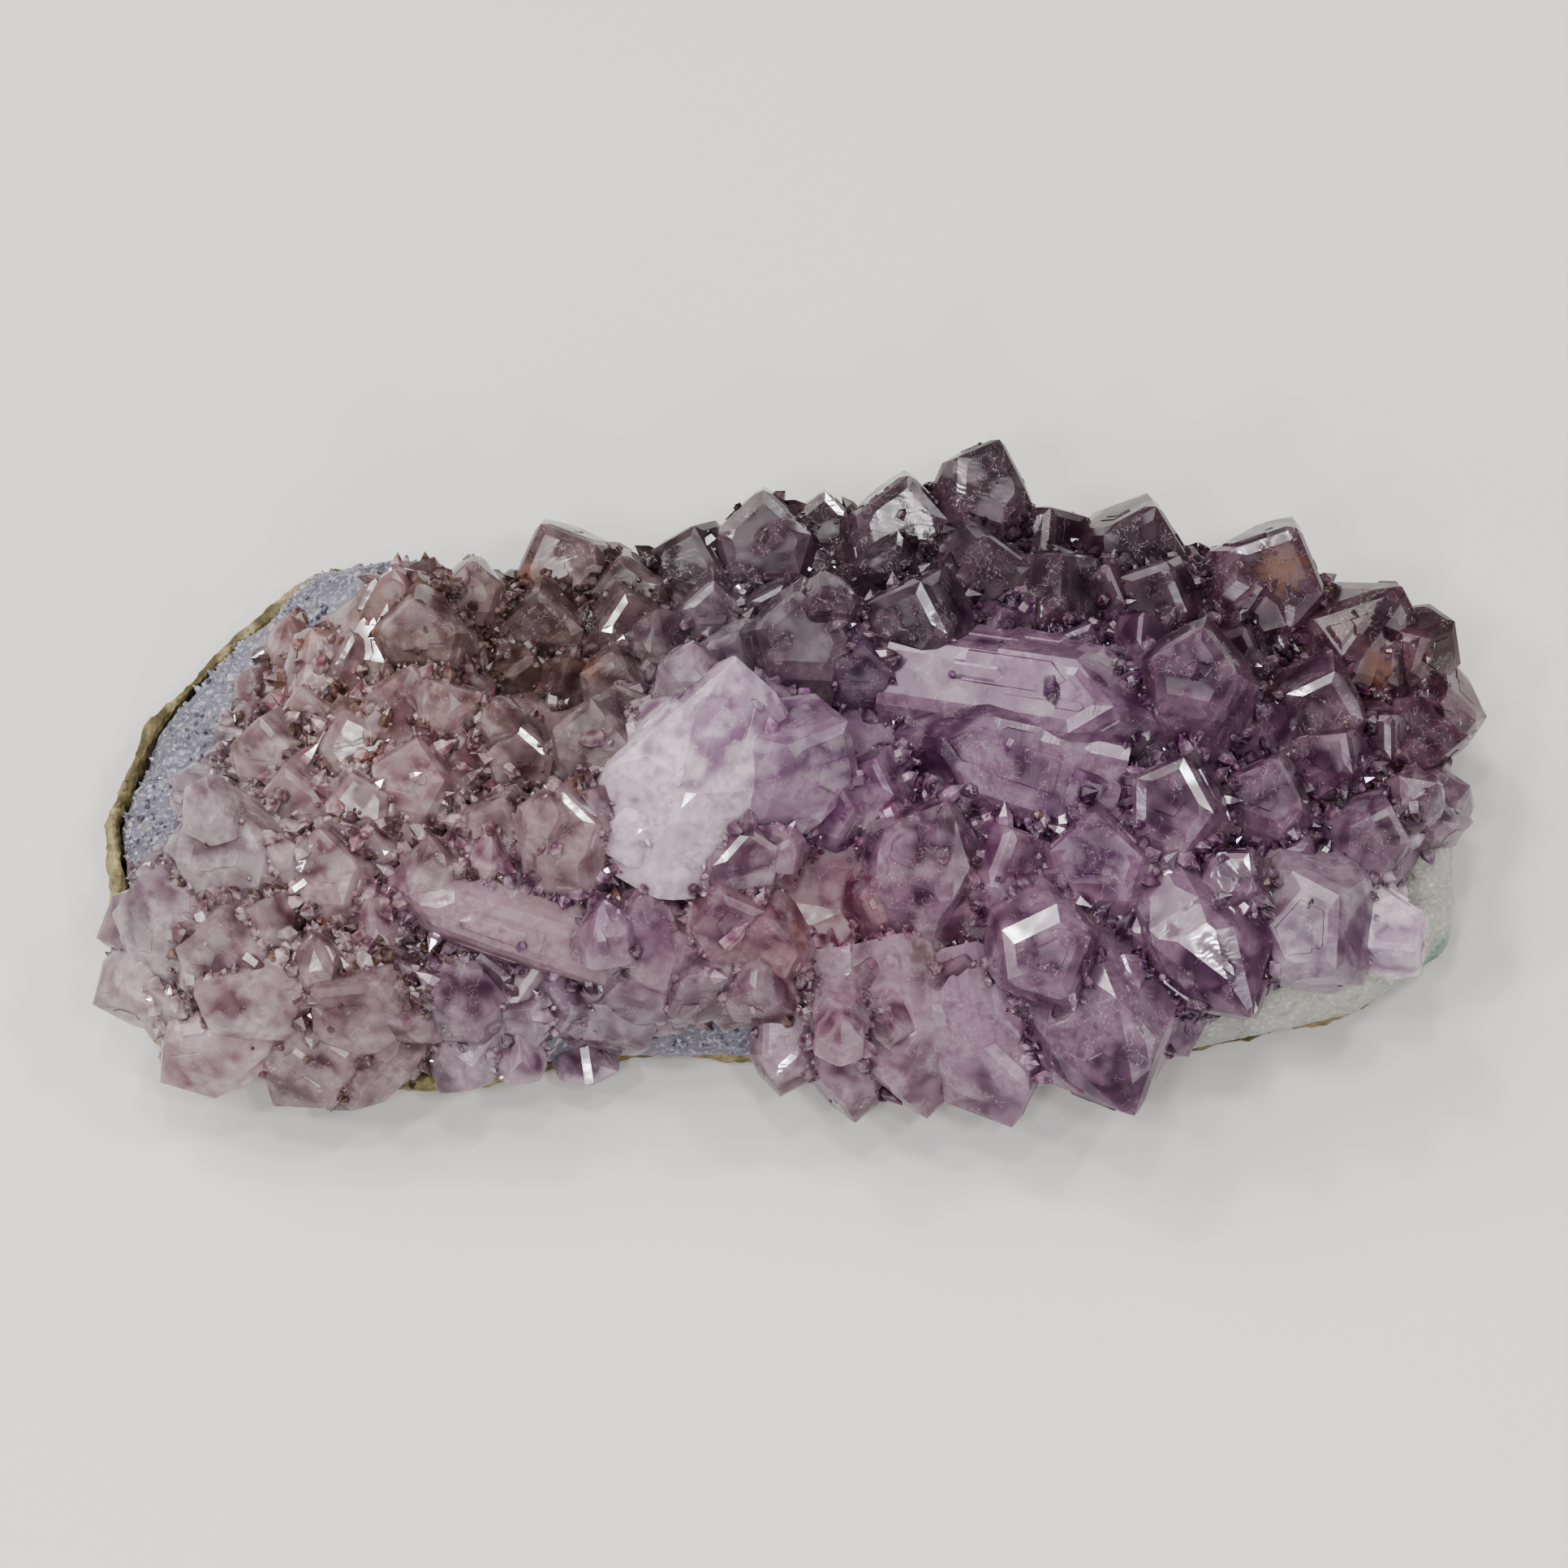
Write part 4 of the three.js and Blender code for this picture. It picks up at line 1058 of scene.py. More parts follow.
bench, given, result = new_group(
    "iron_stains",
    {"Strength": 0.5, "Grain": 0.5},
    {"Mask": "NodeSocketFloat", "Colour": "NodeSocketColor"},
)
place = in_millimetres(bench)
away = bench.vector("DISTANCE", place, bench.read("stain_place"), out="Value")
crumble = bench.math("MULTIPLY", bench.math("SUBTRACT", given["Grain"], 0.5), CRUMBLE)
share = bench.math("ADD", bench.math("DIVIDE", away, bench.read("stain_reach", "Fac")), crumble)
spot = bench.ramp(share, *STAIN_EDGE)
bench.tree.links.new(bench.math("MULTIPLY", spot, given["Strength"]), result["Mask"])
bench.tree.links.new(bench.read("stain_tone"), result["Colour"])
print("the stain group has", len(bench.tree.nodes), "nodes")

# %% [markdown]
# ## Cloudy quartz
#
# The crust, the druse and the sugar are one kind of stone, so one group of nodes makes their colour.
# It measures how far a point lies from its crystal's heart line and below its tip, in half widths, so
# that one pattern fits crystals of every size. Noise bends that distance into clouds. The colour also
# deepens further below the tip: painted shade, which darkens the lower parts of the crystals as if the
# valleys between them lay in shadow. White veils follow the milkiness, and thin lines where the grain
# noise crosses one level look like healed cracks. A low sine wave along the axis gives the growth lines
# that quartz faces carry.

# %% Where a point lies in its crystal
bench, given, result = new_group(
    "cloudy_quartz",
    {"Cloud Size": 0.38, "Wisps": 1.0, "Polish": 0.06},
    {"Colour": "NodeSocketColor", "Roughness": "NodeSocketFloat", "Height": "NodeSocketFloat"},
)
place = in_millimetres(bench)
axis = bench.read("axis")
girth = bench.read("girth", "Fac")
from_heart = bench.vector("SUBTRACT", place, bench.read("heart"))
along = bench.vector("DOT_PRODUCT", from_heart, axis, out="Value")
on_axis = bench.scaled(axis, along)
aside = bench.vector("LENGTH", bench.vector("SUBTRACT", from_heart, on_axis), out="Value")
out_share = bench.math("DIVIDE", aside, girth)
down_share = bench.math("DIVIDE", bench.math("MULTIPLY", along, -1.0), girth)
print("distances take", len(bench.tree.nodes), "nodes")

# %% Coloured hearts, painted shade below the tips, veils and cracks
SWING = 2.0
HEART_EDGE = (1.15, 0.45)
MILK_WHITE = screen_colour(232, 220, 224)
VEIL_SHARE = 0.7
CRACK_LEVEL = 0.54
CRACK_WIDTH = (0.016, 0.002)

cloud = bench.noise(place, given["Cloud Size"], detail=1.0)
swing = bench.math("MULTIPLY", bench.math("SUBTRACT", cloud, 0.5), SWING)
heart_share = bench.ramp(bench.math("ADD", out_share, swing), *HEART_EDGE)
# Painted shade: the colour moves towards the darker heart colour further below the tip, as if the valleys
# lay in shadow.
painted_shade_below_tip = bench.ramp(bench.math("ADD", down_share, swing), 0.0, 0.7, to_low=0.3)
heart_and_painted_shade = bench.math("MULTIPLY", heart_share, painted_shade_below_tip)
colour = bench.blend(heart_and_painted_shade, bench.read("rim_colour"), bench.read("heart_colour"))

grain = bench.noise(place, 1.5, detail=2.0)
mottle_depth = bench.ramp(cloud, 0.4, 0.6, to_low=0.25, to_high=1.3)
mottle = bench.math("MULTIPLY", bench.math("SUBTRACT", grain, 0.5), mottle_depth)
mottled = bench.scaled(colour, bench.math("ADD", mottle, 1.0))
drift = bench.noise(place, 0.45, detail=1.0)
veil = bench.ramp(drift, 0.5, 0.68)
milk = bench.math("MULTIPLY", bench.read("milk", "Fac"), given["Wisps"])
veil = bench.math("MULTIPLY", veil, bench.math("MULTIPLY", milk, VEIL_SHARE))
off_line = bench.math("ABSOLUTE", bench.math("SUBTRACT", grain, CRACK_LEVEL))
crack_share = bench.ramp(drift, 0.42, 0.58, to_high=0.6)
crack = bench.math("MULTIPLY", bench.ramp(off_line, *CRACK_WIDTH), crack_share)
milky = bench.blend(bench.math("MAXIMUM", veil, crack), mottled, MILK_WHITE)
print("with colours", len(bench.tree.nodes), "nodes")

# %% Stains, haze and growth lines
STAIN_DULLNESS = 0.4
GROWTH_WAVE = 15.0
GROWTH_BEND = 12.0
GROWTH_HEIGHT = 0.07

stain = bench.place_group("iron_stains", Grain=grain)
finished = bench.blend(stain.outputs["Mask"], milky, stain.outputs["Colour"])
bench.tree.links.new(finished, result["Colour"])

haze = bench.ramp(drift, 0.35, 0.65, to_low=0.2, to_high=0.0)
dull = bench.math("MULTIPLY", stain.outputs["Mask"], STAIN_DULLNESS)
rough = bench.math("ADD", bench.math("ADD", given["Polish"], haze), dull)
bench.tree.links.new(rough, result["Roughness"])
swell = bench.noise(place, 1.2, detail=0.0)
bend = bench.math("MULTIPLY", swell, GROWTH_BEND)
growth_lines = bench.math("SINE", bench.math("ADD", bench.math("MULTIPLY", along, GROWTH_WAVE), bend))
height = bench.math("ADD", swell, bench.math("MULTIPLY", growth_lines, GROWTH_HEIGHT))
bench.tree.links.new(height, result["Height"])
print("the cloudy quartz group has", len(bench.tree.nodes), "nodes")

# %% [markdown]
# ## The quartz material
#
# Glass with colour on its surface would look like painted glass. Real amethyst takes its violet from the
# light's way through the body, and its clouds lie under the faces. So the material lets light through,
# absorbs most of the green on the way, and scatters some of it just below the surface. These values are
# the same all over and are set on the shader itself, while the group brings colours, a roughness and a
# height. The crust has two materials, since milky crystals let less light through and scatter more.

# %% The crust's two materials
QUARTZ_REFRACTION = 1.544
VIOLET_LIGHT = (0.66, 0.36, 0.62)
ABSORPTION_PER_METRE = 130
CLOUDY_DEPTH = 1.6
CLOUDY_REACH = (1.0, 0.75, 1.0)
RELIEF_HEIGHT = 0.03
MILKY_FROM = 0.55


def quartz(name, transmission, cloud_size=0.38, wisps=1.0, polish=0.06, bump=0.25, cloudiness=0.35):
    """Clear or cloudy quartz. The more it transmits, the clearer the stone."""
    material, bench = new_material(name)
    colours = bench.place_group("cloudy_quartz", Cloud_Size=cloud_size, Wisps=wisps, Polish=polish)
    relief = None
    if bump:
        height = colours.outputs["Height"]
        relief_inputs = {"Strength": bump, "Distance": RELIEF_HEIGHT * MM, "Height": height}
        relief = bench.put("ShaderNodeBump", relief_inputs)
    shader = bench.put("ShaderNodeBsdfPrincipled", {
        "Base Color": colours.outputs["Colour"], "Roughness": colours.outputs["Roughness"],
        "Normal": relief, "IOR": QUARTZ_REFRACTION, "Transmission Weight": transmission,
        "Subsurface Weight": cloudiness, "Subsurface Radius": CLOUDY_REACH,
        "Subsurface Scale": CLOUDY_DEPTH * MM,
    })
    violet = {"Color": (*VIOLET_LIGHT, 1), "Density": ABSORPTION_PER_METRE}
    absorb = bench.put("ShaderNodeVolumeAbsorption", violet)
    bench.put("ShaderNodeOutputMaterial", {"Surface": shader, "Volume": absorb})
    return material


clear_amethyst = quartz("clear_amethyst", 0.6)
milky_quartz = quartz("milky_quartz", 0.3, cloudiness=0.6)
crust_data.materials.clear()
for material in (clear_amethyst, milky_quartz):
    crust_data.materials.append(material)
crust_data.polygons.foreach_set("material_index", (looks[:, 6] > MILKY_FROM).astype(int))
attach(crust, "root")
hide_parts("amethyst_crystals")
print("milky faces:", int((looks[:, 6] > MILKY_FROM).sum()), "of", len(looks))

# %% [markdown]
# ## The agate and the rind
#
# Both are massive stone without crystal faces, so they are made another way than the crust: a copy of
# the solid is cut into fine triangles, smoothed so that the corners of the faceted outline go, and
# pushed in and out by noise of a few sizes. The sawn underside stays flat. Both also grow a little, by
# the small gap that the solids keep, so that they meet each other and the crust as grown stone does.

# %% Even cells
SAWN_HEIGHT = 0.3
EVEN_FRACTAL = (1.0, 2.0, 3)


def fine_copy(node, cell, smoothing):
    """A copy of a node cut anew into even cells of a size in millimetres, then smoothed."""
    data = bpy.data.meshes.new(node + "_copy")
    welded(node).to_mesh(data)
    thing = new_piece(node + "_copy", data)
    remesh = thing.modifiers.new("even cells", "REMESH")
    remesh.mode = "VOXEL"
    remesh.voxel_size = cell * MM
    depsgraph = bpy.context.evaluated_depsgraph_get()
    even = bpy.data.meshes.new_from_object(thing.evaluated_get(depsgraph))
    mesh = bmesh.new()
    mesh.from_mesh(even)
    bpy.data.meshes.remove(even)
    bpy.data.meshes.remove(data)
    for _ in range(smoothing):
        bmesh.ops.smooth_vert(
            mesh, verts=mesh.verts, factor=0.5, use_axis_x=True, use_axis_y=True, use_axis_z=True
        )
    mesh.normal_update()
    print(node, "cut into", len(mesh.faces), "cells")
    return mesh


def weathered(node, mesh, grow, layers):
    """Pushes the surface out by a growth and by layers of noise, each a feature size and a height.

    Near the sawn underside nothing is pushed up, and nothing comes out below its plane."""
    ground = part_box(node)[0][2] / MM
    lowest = min(vertex.co.z for vertex in mesh.verts) / MM
    for vertex in mesh.verts:
        place = vertex.co / MM
        push = grow
        for size, height in layers:
            push += noise.fractal(place / size, *EVEN_FRACTAL) * height
        moved = place + vertex.normal * push
        if place.z < lowest + SAWN_HEIGHT:
            moved.z = min(place.z, moved.z)
        moved.z = max(ground, moved.z)
        vertex.co = moved * MM
    return mesh


print("stone within", SAWN_HEIGHT, "mm of the underside stays flat")


# %% A finished stone piece
GRAIN_SCALE = 3.0
GRAIN_HEIGHT = 0.15


def piece_from(name, mesh, material, node):
    """Makes the piece that stands for a node, with its stains and material, on the root body, and hides
    the node.
    """
    data = bpy.data.meshes.new(name)
    mesh.to_mesh(data)
    data.materials.append(material)
    store_stains(data)
    piece = new_piece(name, data)
    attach(piece, "root")
    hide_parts(node)
    print(name, "has", len(data.polygons), "faces")
    return piece


def stone_relief(bench, place, strength, detail):
    """A bump of fine grain for massive stone."""
    grain = bench.noise(place, GRAIN_SCALE, detail)
    inputs = {"Strength": strength, "Distance": GRAIN_HEIGHT * MM, "Height": grain}
    return bench.put("ShaderNodeBump", inputs)


# %% [markdown]
# ## Agate
#
# Agate is quartz in crystals too small to see. It looks waxy, lets light in a little way, and its fresh
# surface is covered with a sugar of grains. Noise in the stone's own space has no seams and doesn't
# repeat, so it makes both tones: blue-grey clouds on the left, pale greenish ones on the right, with
# white grains, some dirt and the stains on top.

# %% Agate finish
AGATE_LAYERS = [(11, 0.5), (3.2, 0.22), (0.9, 0.1)]
AGATE_CELL = 0.6
AGATE_GROWTH = 0.24
AGATE_REFRACTION = 1.53
AGATE_BLUE = (screen_colour(66, 66, 82), screen_colour(122, 120, 132))
AGATE_GREEN = (screen_colour(118, 122, 112), screen_colour(172, 172, 164))
BLUE_TO_GREEN = (10, 42)
SUGAR_WHITE = screen_colour(210, 210, 214)
DIRT = screen_colour(110, 98, 88)


def agate_finish():
    """Waxy blue-grey agate, paler and greenish at the lower right."""
    material, bench = new_material("sugary_agate")
    place = in_millimetres(bench)
    cloud = bench.noise(place, 0.16, detail=5.0, distortion=0.8)
    right = bench.ramp(bench.put("ShaderNodeSeparateXYZ", [place]), *BLUE_TO_GREEN)
    blue = bench.blend(cloud, *AGATE_BLUE)
    green = bench.blend(cloud, *AGATE_GREEN)
    colour = bench.blend(right, blue, green)
    grain = bench.noise(place, 2.6, detail=4.0)
    sugar = bench.ramp(grain, 0.5, 0.7, to_high=0.4)
    colour = bench.blend(sugar, colour, SUGAR_WHITE)
    dirt_patches = bench.noise(place, 0.5, detail=6.0, distortion=1.0)
    colour = bench.blend(bench.ramp(dirt_patches, 0.56, 0.74, to_high=0.6), colour, DIRT)
    stain = bench.place_group("iron_stains", Grain=grain, Strength=0.8)
    colour = bench.blend(stain.outputs["Mask"], colour, stain.outputs["Colour"])
    wax = bench.ramp(bench.noise(place, 1.1, detail=3.0), 0.35, 0.65, to_low=0.22, to_high=0.5)
    relief = stone_relief(bench, place, strength=0.5, detail=5.0)
    shader = bench.put("ShaderNodeBsdfPrincipled", {
        "Base Color": colour, "Roughness": wax, "Normal": relief, "IOR": AGATE_REFRACTION,
        "Subsurface Weight": 0.25, "Subsurface Radius": (1, 1, 1.1), "Subsurface Scale": 1.0 * MM,
    })
    bench.put("ShaderNodeOutputMaterial", {"Surface": shader})
    return material


agate_mesh = fine_copy("agate_slab", AGATE_CELL, smoothing=4)
agate_mesh = weathered("agate_slab", agate_mesh, AGATE_GROWTH, AGATE_LAYERS)
agate = piece_from("agate_wall", agate_mesh, agate_finish(), "agate_slab")

# %% [markdown]
# ## Rind
#
# The rind is the outer skin of the stone, where it lay against the rock. It is dry and rough, tan and
# olive with dark pits, and has hardly any gloss, so it sets off the wet look of the crystals. Three
# sizes of noise are enough for it: wide blotches, fine grain and round pits.

# %% Rind finish
RIND_LAYERS = [(7, 0.5), (1.8, 0.3), (0.6, 0.1)]
RIND_CELL = 0.5
RIND_GROWTH = 0.1
RIND_ROUGHNESS = 0.85
OLIVE = screen_colour(86, 78, 52)
TAN = screen_colour(150, 138, 104)
PIT_BROWN = screen_colour(44, 36, 26)


def rind_finish():
    """Dry tan and olive skin with darker pits."""
    material, bench = new_material("rough_rind")
    place = in_millimetres(bench)
    blotch = bench.ramp(bench.noise(place, 0.35, detail=6.0, distortion=0.7), 0.35, 0.65)
    colour = bench.blend(blotch, OLIVE, TAN)
    grain = bench.ramp(bench.noise(place, 2.2, detail=5.0), 0.3, 0.7, to_low=0.7, to_high=1.2)
    colour = bench.scaled(colour, grain)
    pits = bench.ramp(bench.noise(place, 0.9, detail=3.0, distortion=0.4), 0.62, 0.72)
    colour = bench.blend(pits, colour, PIT_BROWN)
    relief = stone_relief(bench, place, strength=0.6, detail=6.0)
    finish = {"Base Color": colour, "Normal": relief, "Roughness": RIND_ROUGHNESS}
    shader = bench.put("ShaderNodeBsdfPrincipled", finish)
    bench.put("ShaderNodeOutputMaterial", {"Surface": shader})
    return material


rind_mesh = weathered("rind", fine_copy("rind", RIND_CELL, smoothing=3), RIND_GROWTH, RIND_LAYERS)
rind = piece_from("rind_skin", rind_mesh, rind_finish(), "rind")

# %% [markdown]
# ## Druse and sugar
#
# Between the large crystals sit thousands of tiny ones, most of them where the stone is sheltered. An
# even scatter would cover the open faces too, and those are clean. So chance points are drawn all over
# the stone, and a few short rays from each one feel for neighbours. Where many rays hit, the point lies
# in a valley.

# %% Scatter places
FEELERS = 10
FEELER_START = 0.03
FEELER_LIFT = 1.1


def triangles_of(mesh):
    """The corners of a mesh's triangles, in millimetres."""
    mesh.calc_loop_triangles()
    corners = np.array([v.co for v in mesh.vertices]) / MM
    return corners[np.array([t.vertices for t in mesh.loop_triangles])]


def scattered(mesh, count):
    """Chance points on a mesh, even over its area, with the way each one faces."""
    triangles = triangles_of(mesh)
    across = np.cross(triangles[:, 1] - triangles[:, 0], triangles[:, 2] - triangles[:, 0])
    areas = np.linalg.norm(across, axis=1)
    picks = chance.choice(len(triangles), count, p=areas / areas.sum())
    mix = chance.dirichlet(np.ones(3), count)
    points = (triangles[picks] * mix[..., None]).sum(axis=1)
    return points, across[picks] / areas[picks][:, None]


def finder_of(*pieces):
    """One search tree over the faces of some pieces."""
    corners, faces = [], []
    for piece in pieces:
        start = len(corners)
        corners += [v.co for v in piece.data.vertices]
        faces += [[start + v for v in face.vertices] for face in piece.data.polygons]
    return BVHTree.FromPolygons(corners, faces)


def shelter(finder, point, facing, reach):
    """The share of short rays that hit something: 0 on an open face, near 1 in a hole."""
    start = Vector((point + facing * FEELER_START) * MM)
    ways = chance.normal(size=(FEELERS, 3))
    ways /= np.linalg.norm(ways, axis=1)[:, None]
    ways = ways + facing * FEELER_LIFT
    hits = sum(finder.ray_cast(start, Vector(way), reach * MM)[0] is not None for way in ways)
    return hits / FEELERS


all_stones = finder_of(crust, agate, rind)
print("shelter is felt for among", sum(len(p.data.polygons) for p in (crust, agate, rind)), "faces")

# %% [markdown]
# ## A little crystal
#
# All the tiny crystals share one shape: a hexagonal point with its root below zero. It has 13 corners,
# since the druse has thousands of copies, and its tip stands a little aside, as no real tip is centred.

# %% A little crystal
POINT_RINGS = [(1.0, -0.9), (0.9, 0.5)]
TIP_ASIDE = 0.1
TIP_REACH = 0.78


def quartz_point():
    """A short hexagonal crystal, one unit in half width, with its root below zero."""
    mesh = bmesh.new()
    corners = [
        [mesh.verts.new((r * math.cos(STEP * s), r * math.sin(STEP * s), z)) for s in range(SIDES)]
        for r, z in POINT_RINGS
    ]
    shoulder = POINT_RINGS[1][1]
    tip = mesh.verts.new((TIP_ASIDE, 0, shoulder + TIP_REACH * math.tan(PYRAMID_ANGLE)))
    mesh.faces.new(reversed(corners[0]))
    for s in range(SIDES):
        after = (s + 1) % SIDES
        mesh.faces.new((corners[0][s], corners[0][after], corners[1][after], corners[1][s]))
        mesh.faces.new((corners[1][s], corners[1][after], tip))
    data = bpy.data.meshes.new("quartz_point")
    mesh.to_mesh(data)
    return new_piece("quartz_point", data)


little_crystal = quartz_point()
print("a little crystal has", len(little_crystal.data.vertices), "corners")

# %% [markdown]
# ## Geometry Nodes that grow the little crystals
#
# Thousands of crystals by hand or in a loop would be slow and hard to change. Geometry Nodes put one on
# every place in one go: each leans a little from the way its place faces, is turned about itself, and
# gets its own size, mostly near the smallest. The tree also writes each crystal's heart line, axis and
# half width, so that the cloudy quartz fits the little ones too. The result is turned into a plain mesh.

# %% The tree and its inputs
SPROUT_INPUTS = [
    ("Geometry", "NodeSocketGeometry", None), ("Crystal", "NodeSocketObject", None),
    ("Smallest", "NodeSocketFloat", 0.0002), ("Largest", "NodeSocketFloat", 0.0006),
    ("Lean", "NodeSocketFloat", 0.4), ("Seed", "NodeSocketInt", 1),
    ("Finish", "NodeSocketMaterial", None),
]

sprouts = bpy.data.node_groups.new("sprouts", "GeometryNodeTree")
for name, kind, value in SPROUT_INPUTS:
    socket = sprouts.interface.new_socket(name, in_out="INPUT", socket_type=kind)
    if value is not None:
        socket.default_value = value
sprouts.interface.new_socket("Geometry", in_out="OUTPUT", socket_type="NodeSocketGeometry")
bench = Bench(sprouts)
given = sprouts.nodes.new("NodeGroupInput").outputs
print("the tree takes", ", ".join(name for name, _, _ in SPROUT_INPUTS))

# %% The way and the size of each little crystal
SIZE_SKEW = 2.2
TALLNESS = (0.8, 1.7)


def toss(low, high, offset):
    """A chance value between two limits for every point, from its own seed."""
    own_seed = bench.math("ADD", given["Seed"], float(offset))
    return bench.put("FunctionNodeRandomValue", {2: low, 3: high, "Seed": own_seed}, 1)


any_way = {0: (-1, -1, -1), 1: (1, 1, 1), "Seed": given["Seed"]}
lean = bench.put("FunctionNodeRandomValue", any_way, data_type="FLOAT_VECTOR")
lean = bench.scaled(lean, given["Lean"])
facing = bench.put("GeometryNodeInputNamedAttribute", {"Name": "facing"}, data_type="FLOAT_VECTOR")
way = bench.vector("NORMALIZE", bench.vector("ADD", facing, lean))
turned = bench.put("FunctionNodeAlignRotationToVector", {"Vector": way}, axis="Z")
spin = bench.put("FunctionNodeAxisAngleToRotation", {"Axis": (0, 0, 1), "Angle": toss(0.0, STEP, 1)})
turned = bench.put("FunctionNodeRotateRotation", {0: turned, 1: spin}, rotation_space="LOCAL")
roll = bench.math("POWER", toss(0.0, 1.0, 2), SIZE_SKEW)
span = bench.math("SUBTRACT", given["Largest"], given["Smallest"])
size = bench.math("ADD", given["Smallest"], bench.math("MULTIPLY", span, roll))
tall = bench.math("MULTIPLY", size, toss(*TALLNESS, 3))
print("way and size take", len(sprouts.nodes), "nodes")

# %% The looks and the crystals themselves
SPROUT_HEIGHT = 1.5


def keep(geometry, name, value, kind="FLOAT_VECTOR"):
    """Stores a named attribute on the points."""
    inputs = {"Geometry": geometry, "Name": name, "Value": value}
    return bench.put("GeometryNodeStoreNamedAttribute", inputs, data_type=kind, domain="POINT")


up = bench.scaled(way, bench.math("MULTIPLY", tall, SPROUT_HEIGHT))
tip = bench.vector("ADD", bench.put("GeometryNodeInputPosition"), up)
points = keep(given["Geometry"], "heart", bench.scaled(tip, 1 / MM))
points = keep(points, "axis", way)
points = keep(points, "girth", bench.math("DIVIDE", size, MM), "FLOAT")
scale = bench.put("ShaderNodeCombineXYZ", [size, size, tall])
shape = bench.put("GeometryNodeObjectInfo", {"Object": given["Crystal"]}, "Geometry")
instances = {"Points": points, "Instance": shape, "Rotation": turned, "Scale": scale}
grown = bench.put("GeometryNodeInstanceOnPoints", instances)
real = bench.put("GeometryNodeRealizeInstances", [grown])
done = bench.put("GeometryNodeSetMaterial", {"Geometry": real, "Material": given["Finish"]})
bench.put("NodeGroupOutput", [done])
print("the whole tree has", len(sprouts.nodes), "nodes")


# %% Grow a piece
identifiers = {s.name: s.identifier for s in sprouts.interface.items_tree if s.in_out == "INPUT"}


def sprout(name, places, facings, looks, material, smallest, largest, lean, seed):
    """One plain mesh of little crystals that stand on the places given."""
    data = bpy.data.meshes.new(name + "_places")
    data.from_pydata([tuple(p * MM) for p in places], [], [])
    stain = nearest_stain(places[:, None])
    carried = {
        "facing": facings, "heart_colour": looks[:, :3], "rim_colour": looks[:, 3:6],
        "milk": looks[:, 6], "stain_place": stain_places[stain],
        "stain_reach": stain_reaches[stain], "stain_tone": stain_tones[stain],
    }
    for key, value in carried.items():
        store(data, key, value, "POINT")
    ground = new_piece(name + "_places", data)
    grow = ground.modifiers.new("sprouts", "NODES")
    grow.node_group = sprouts
    values = {
        "Crystal": little_crystal, "Smallest": smallest * MM, "Largest": largest * MM, "Lean": lean,
        "Seed": seed, "Finish": material,
    }
    for key, value in values.items():
        grow[identifiers[key]] = value
    depsgraph = bpy.context.evaluated_depsgraph_get()
    mesh = bpy.data.meshes.new_from_object(ground.evaluated_get(depsgraph))
    mesh.name = name
    bpy.data.meshes.remove(data)
    piece = new_piece(name, mesh)
    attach(piece, "root")
    print(name, "has", len(places), "crystals and", len(mesh.polygons), "faces")


print("inputs are set by identifier:", identifiers)

# %% [markdown]
# ## Druse in the valleys
#
# The valleys of the specimen are lined with little crystals. On the left there are more of them and
# they climb higher up the faces, some of them tinted by iron. Each takes the look of the clouds where it
# stands, and its colours are darkened by a chance factor: painted shade, for the shade of its neighbours.

# %% Druse in the valleys
DRUSE_TRIES = 36000
DRUSE_SHELTER = 0.45
DRUSE_FEEL = 2.4
DRUSE_OVERHANG = -0.2
DRUSE_PAINTED_SHADE = (0.45, 1)
LOWEST_DRUSE = 6.0
LEFT_START = -12
LEFT_FADE = 14
LEFT_EXTRA = 0.22
IRON_ODDS = (0.03, 0.25)
IRON_SHARE = (0.3, 0.9)
IRON_TINT = np.concatenate([paint(66, 42, 34), paint(108, 80, 64), [0.0]])

druse_amethyst = quartz("druse_amethyst", 0.4, cloud_size=0.8, polish=0.02, bump=0.0, cloudiness=0.0)
places, facings, looks = [], [], []
for point, facing in zip(*scattered(crust_data, DRUSE_TRIES)):
    leftness = np.clip((LEFT_START - point[0]) / LEFT_FADE, 0, 1)
    needed = DRUSE_SHELTER - LEFT_EXTRA * leftness
    if point[2] <= LOWEST_DRUSE or facing[2] <= DRUSE_OVERHANG:
        continue
    if shelter(all_stones, point, facing, DRUSE_FEEL) > needed:
        # Painted shade: each little crystal's colours are darkened by a chance factor.
        look = look_at(point, chance.uniform(-1, 1)) * chance.uniform(*DRUSE_PAINTED_SHADE)
        if chance.random() < IRON_ODDS[0] + IRON_ODDS[1] * leftness:
            look += (IRON_TINT - look) * chance.uniform(*IRON_SHARE)
        places.append(point)
        facings.append(facing)
        looks.append(look)
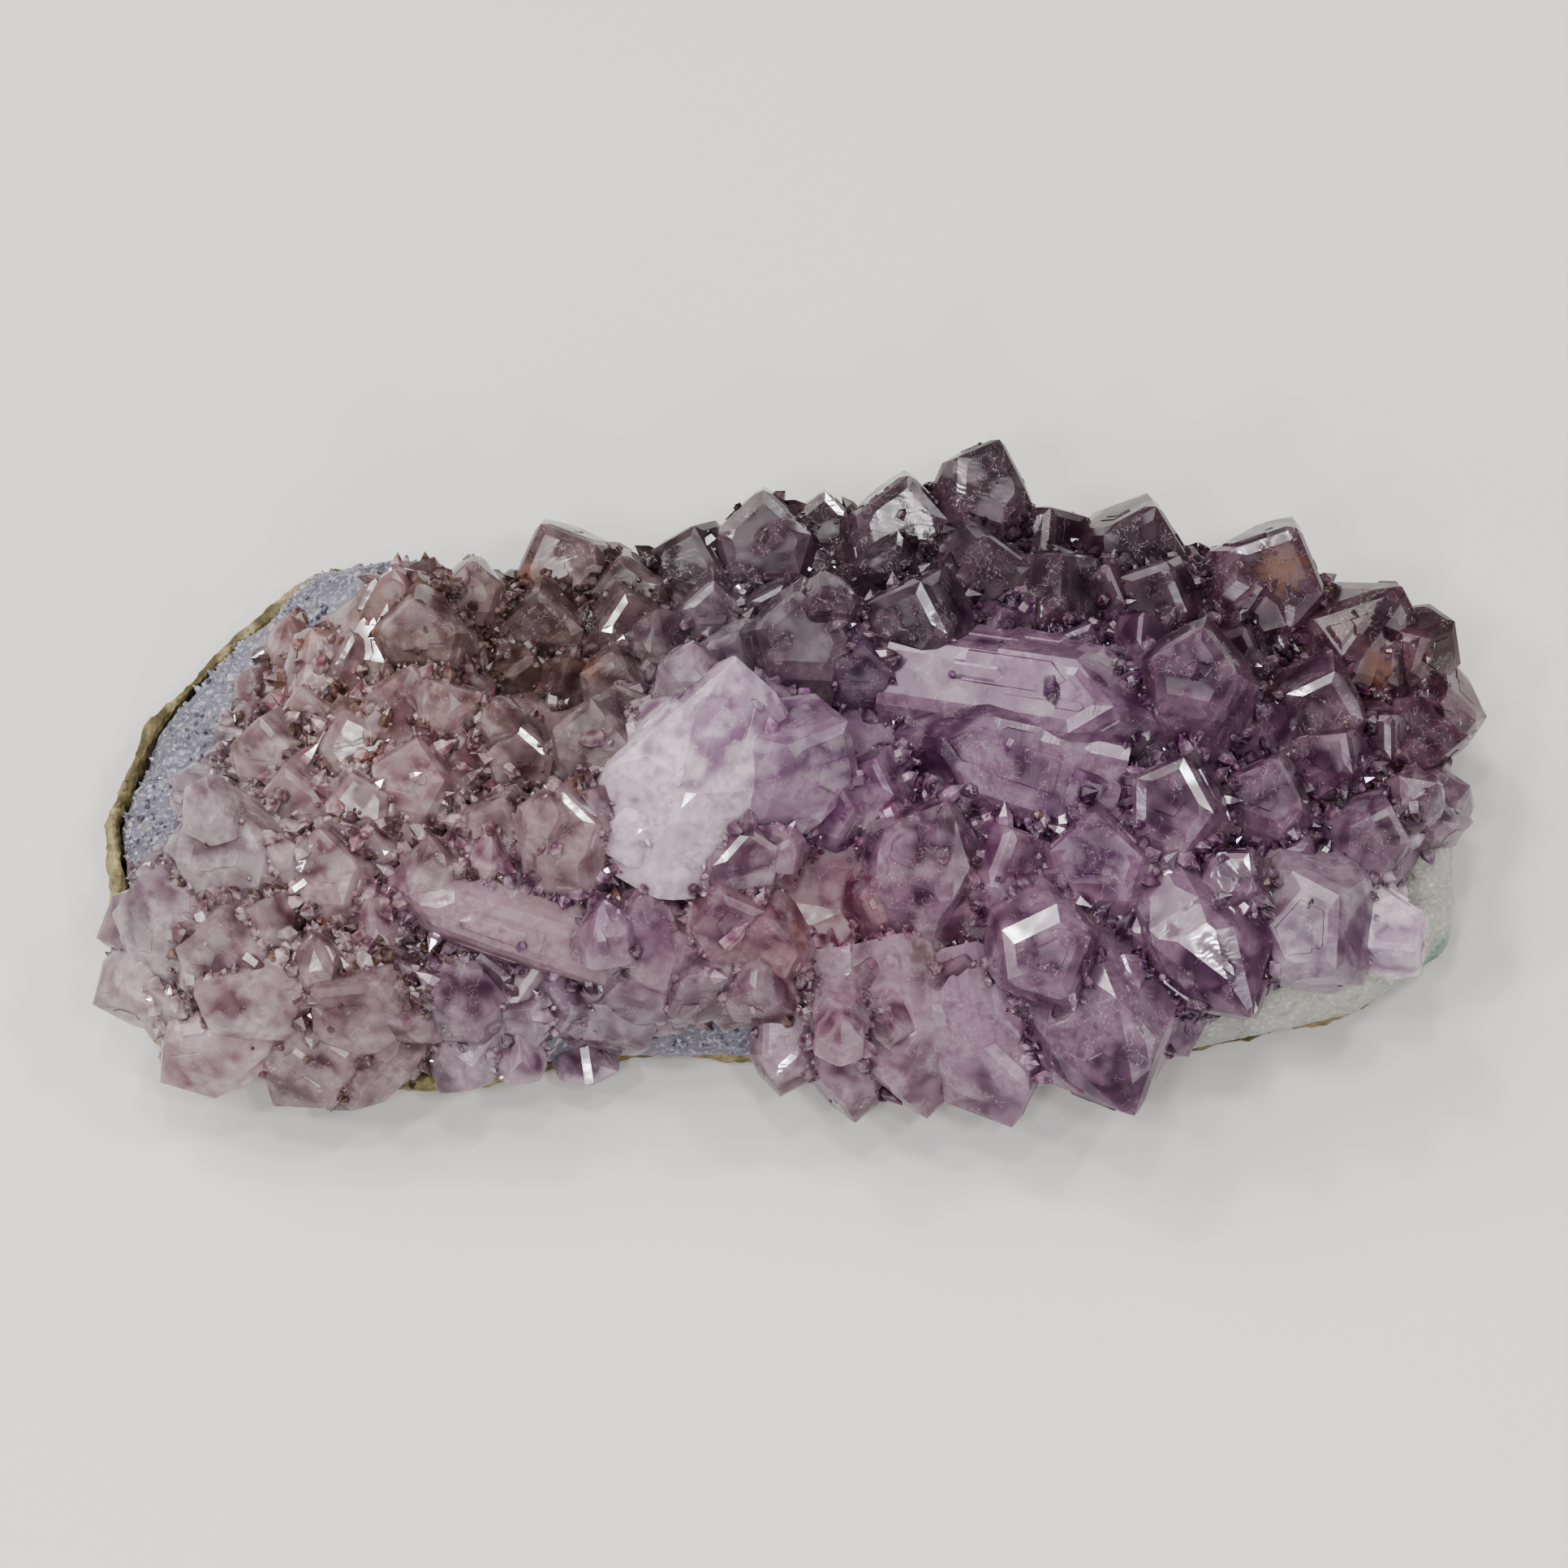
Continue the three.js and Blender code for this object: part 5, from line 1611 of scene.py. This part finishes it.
sprout(
    "valley_druse", np.array(places), np.array(facings), np.array(looks), druse_amethyst,
    smallest=0.15, largest=0.8, lean=0.55, seed=5,
)

# %% [markdown]
# ## Sugar on the agate
#
# The agate ledge at the upper left and the strip at the lower edge glitter with grains that are finer
# than the druse. They cover it in patches, and none grow on its underside, low on its wall, or on the
# pale wall at the right, which is smooth in the picture.

# %% Sugar on the agate
SUGAR_TRIES = 24000
SUGAR_BARE = -0.1
SUGAR_PATCH = 4.5
SUGAR_FEEL = 3
SUGAR_SHELTER = 0.6
SUGAR_OVERHANG = -0.1
LOWEST_SUGAR = 1.5
SUGAR_END = 18.0
SUGAR_FADE_START = 5
SUGAR_FADE = 30

sugar_quartz = quartz(
    "sugar_quartz", 0.25, cloud_size=1.5, wisps=0.5, polish=0.02, bump=0.0, cloudiness=0.0
)
sugar_look = np.concatenate([paint(86, 84, 96), paint(170, 168, 178), [0.5]])
places, facings = [], []
for point, facing in zip(*scattered(agate.data, SUGAR_TRIES)):
    thinning = np.clip((point[0] - SUGAR_FADE_START) / SUGAR_FADE, 0, 0.5)
    patch = noise.fractal(Vector(point / SUGAR_PATCH), *EVEN_FRACTAL) - thinning
    if facing[2] < SUGAR_OVERHANG or patch < SUGAR_BARE:
        continue
    if point[2] < LOWEST_SUGAR or point[0] > SUGAR_END:
        continue
    if shelter(all_stones, point, facing, SUGAR_FEEL) < SUGAR_SHELTER:
        places.append(point)
        facings.append(facing)
sprout(
    "agate_sugar", np.array(places), np.array(facings), np.tile(sugar_look, (len(places), 1)),
    sugar_quartz, smallest=0.06, largest=0.3, lean=0.8, seed=11,
)
bpy.data.objects.remove(little_crystal)

# %% [markdown]
# ## Sizes, and the end
#
# The finished stone must fill the same space as the solids that it stands for. Both boxes are given as
# the result of this cell, so that they can be compared without looking at the picture.

# %% Sizes, and the end
visual_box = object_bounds()
print("the finished stone measures", [round((b - a) / MM, 1) for a, b in zip(*visual_box)], "mm")
boxes = {"cad": cad_box, "visual": visual_box}
{name: [list(corner) for corner in box] for name, box in boxes.items()}
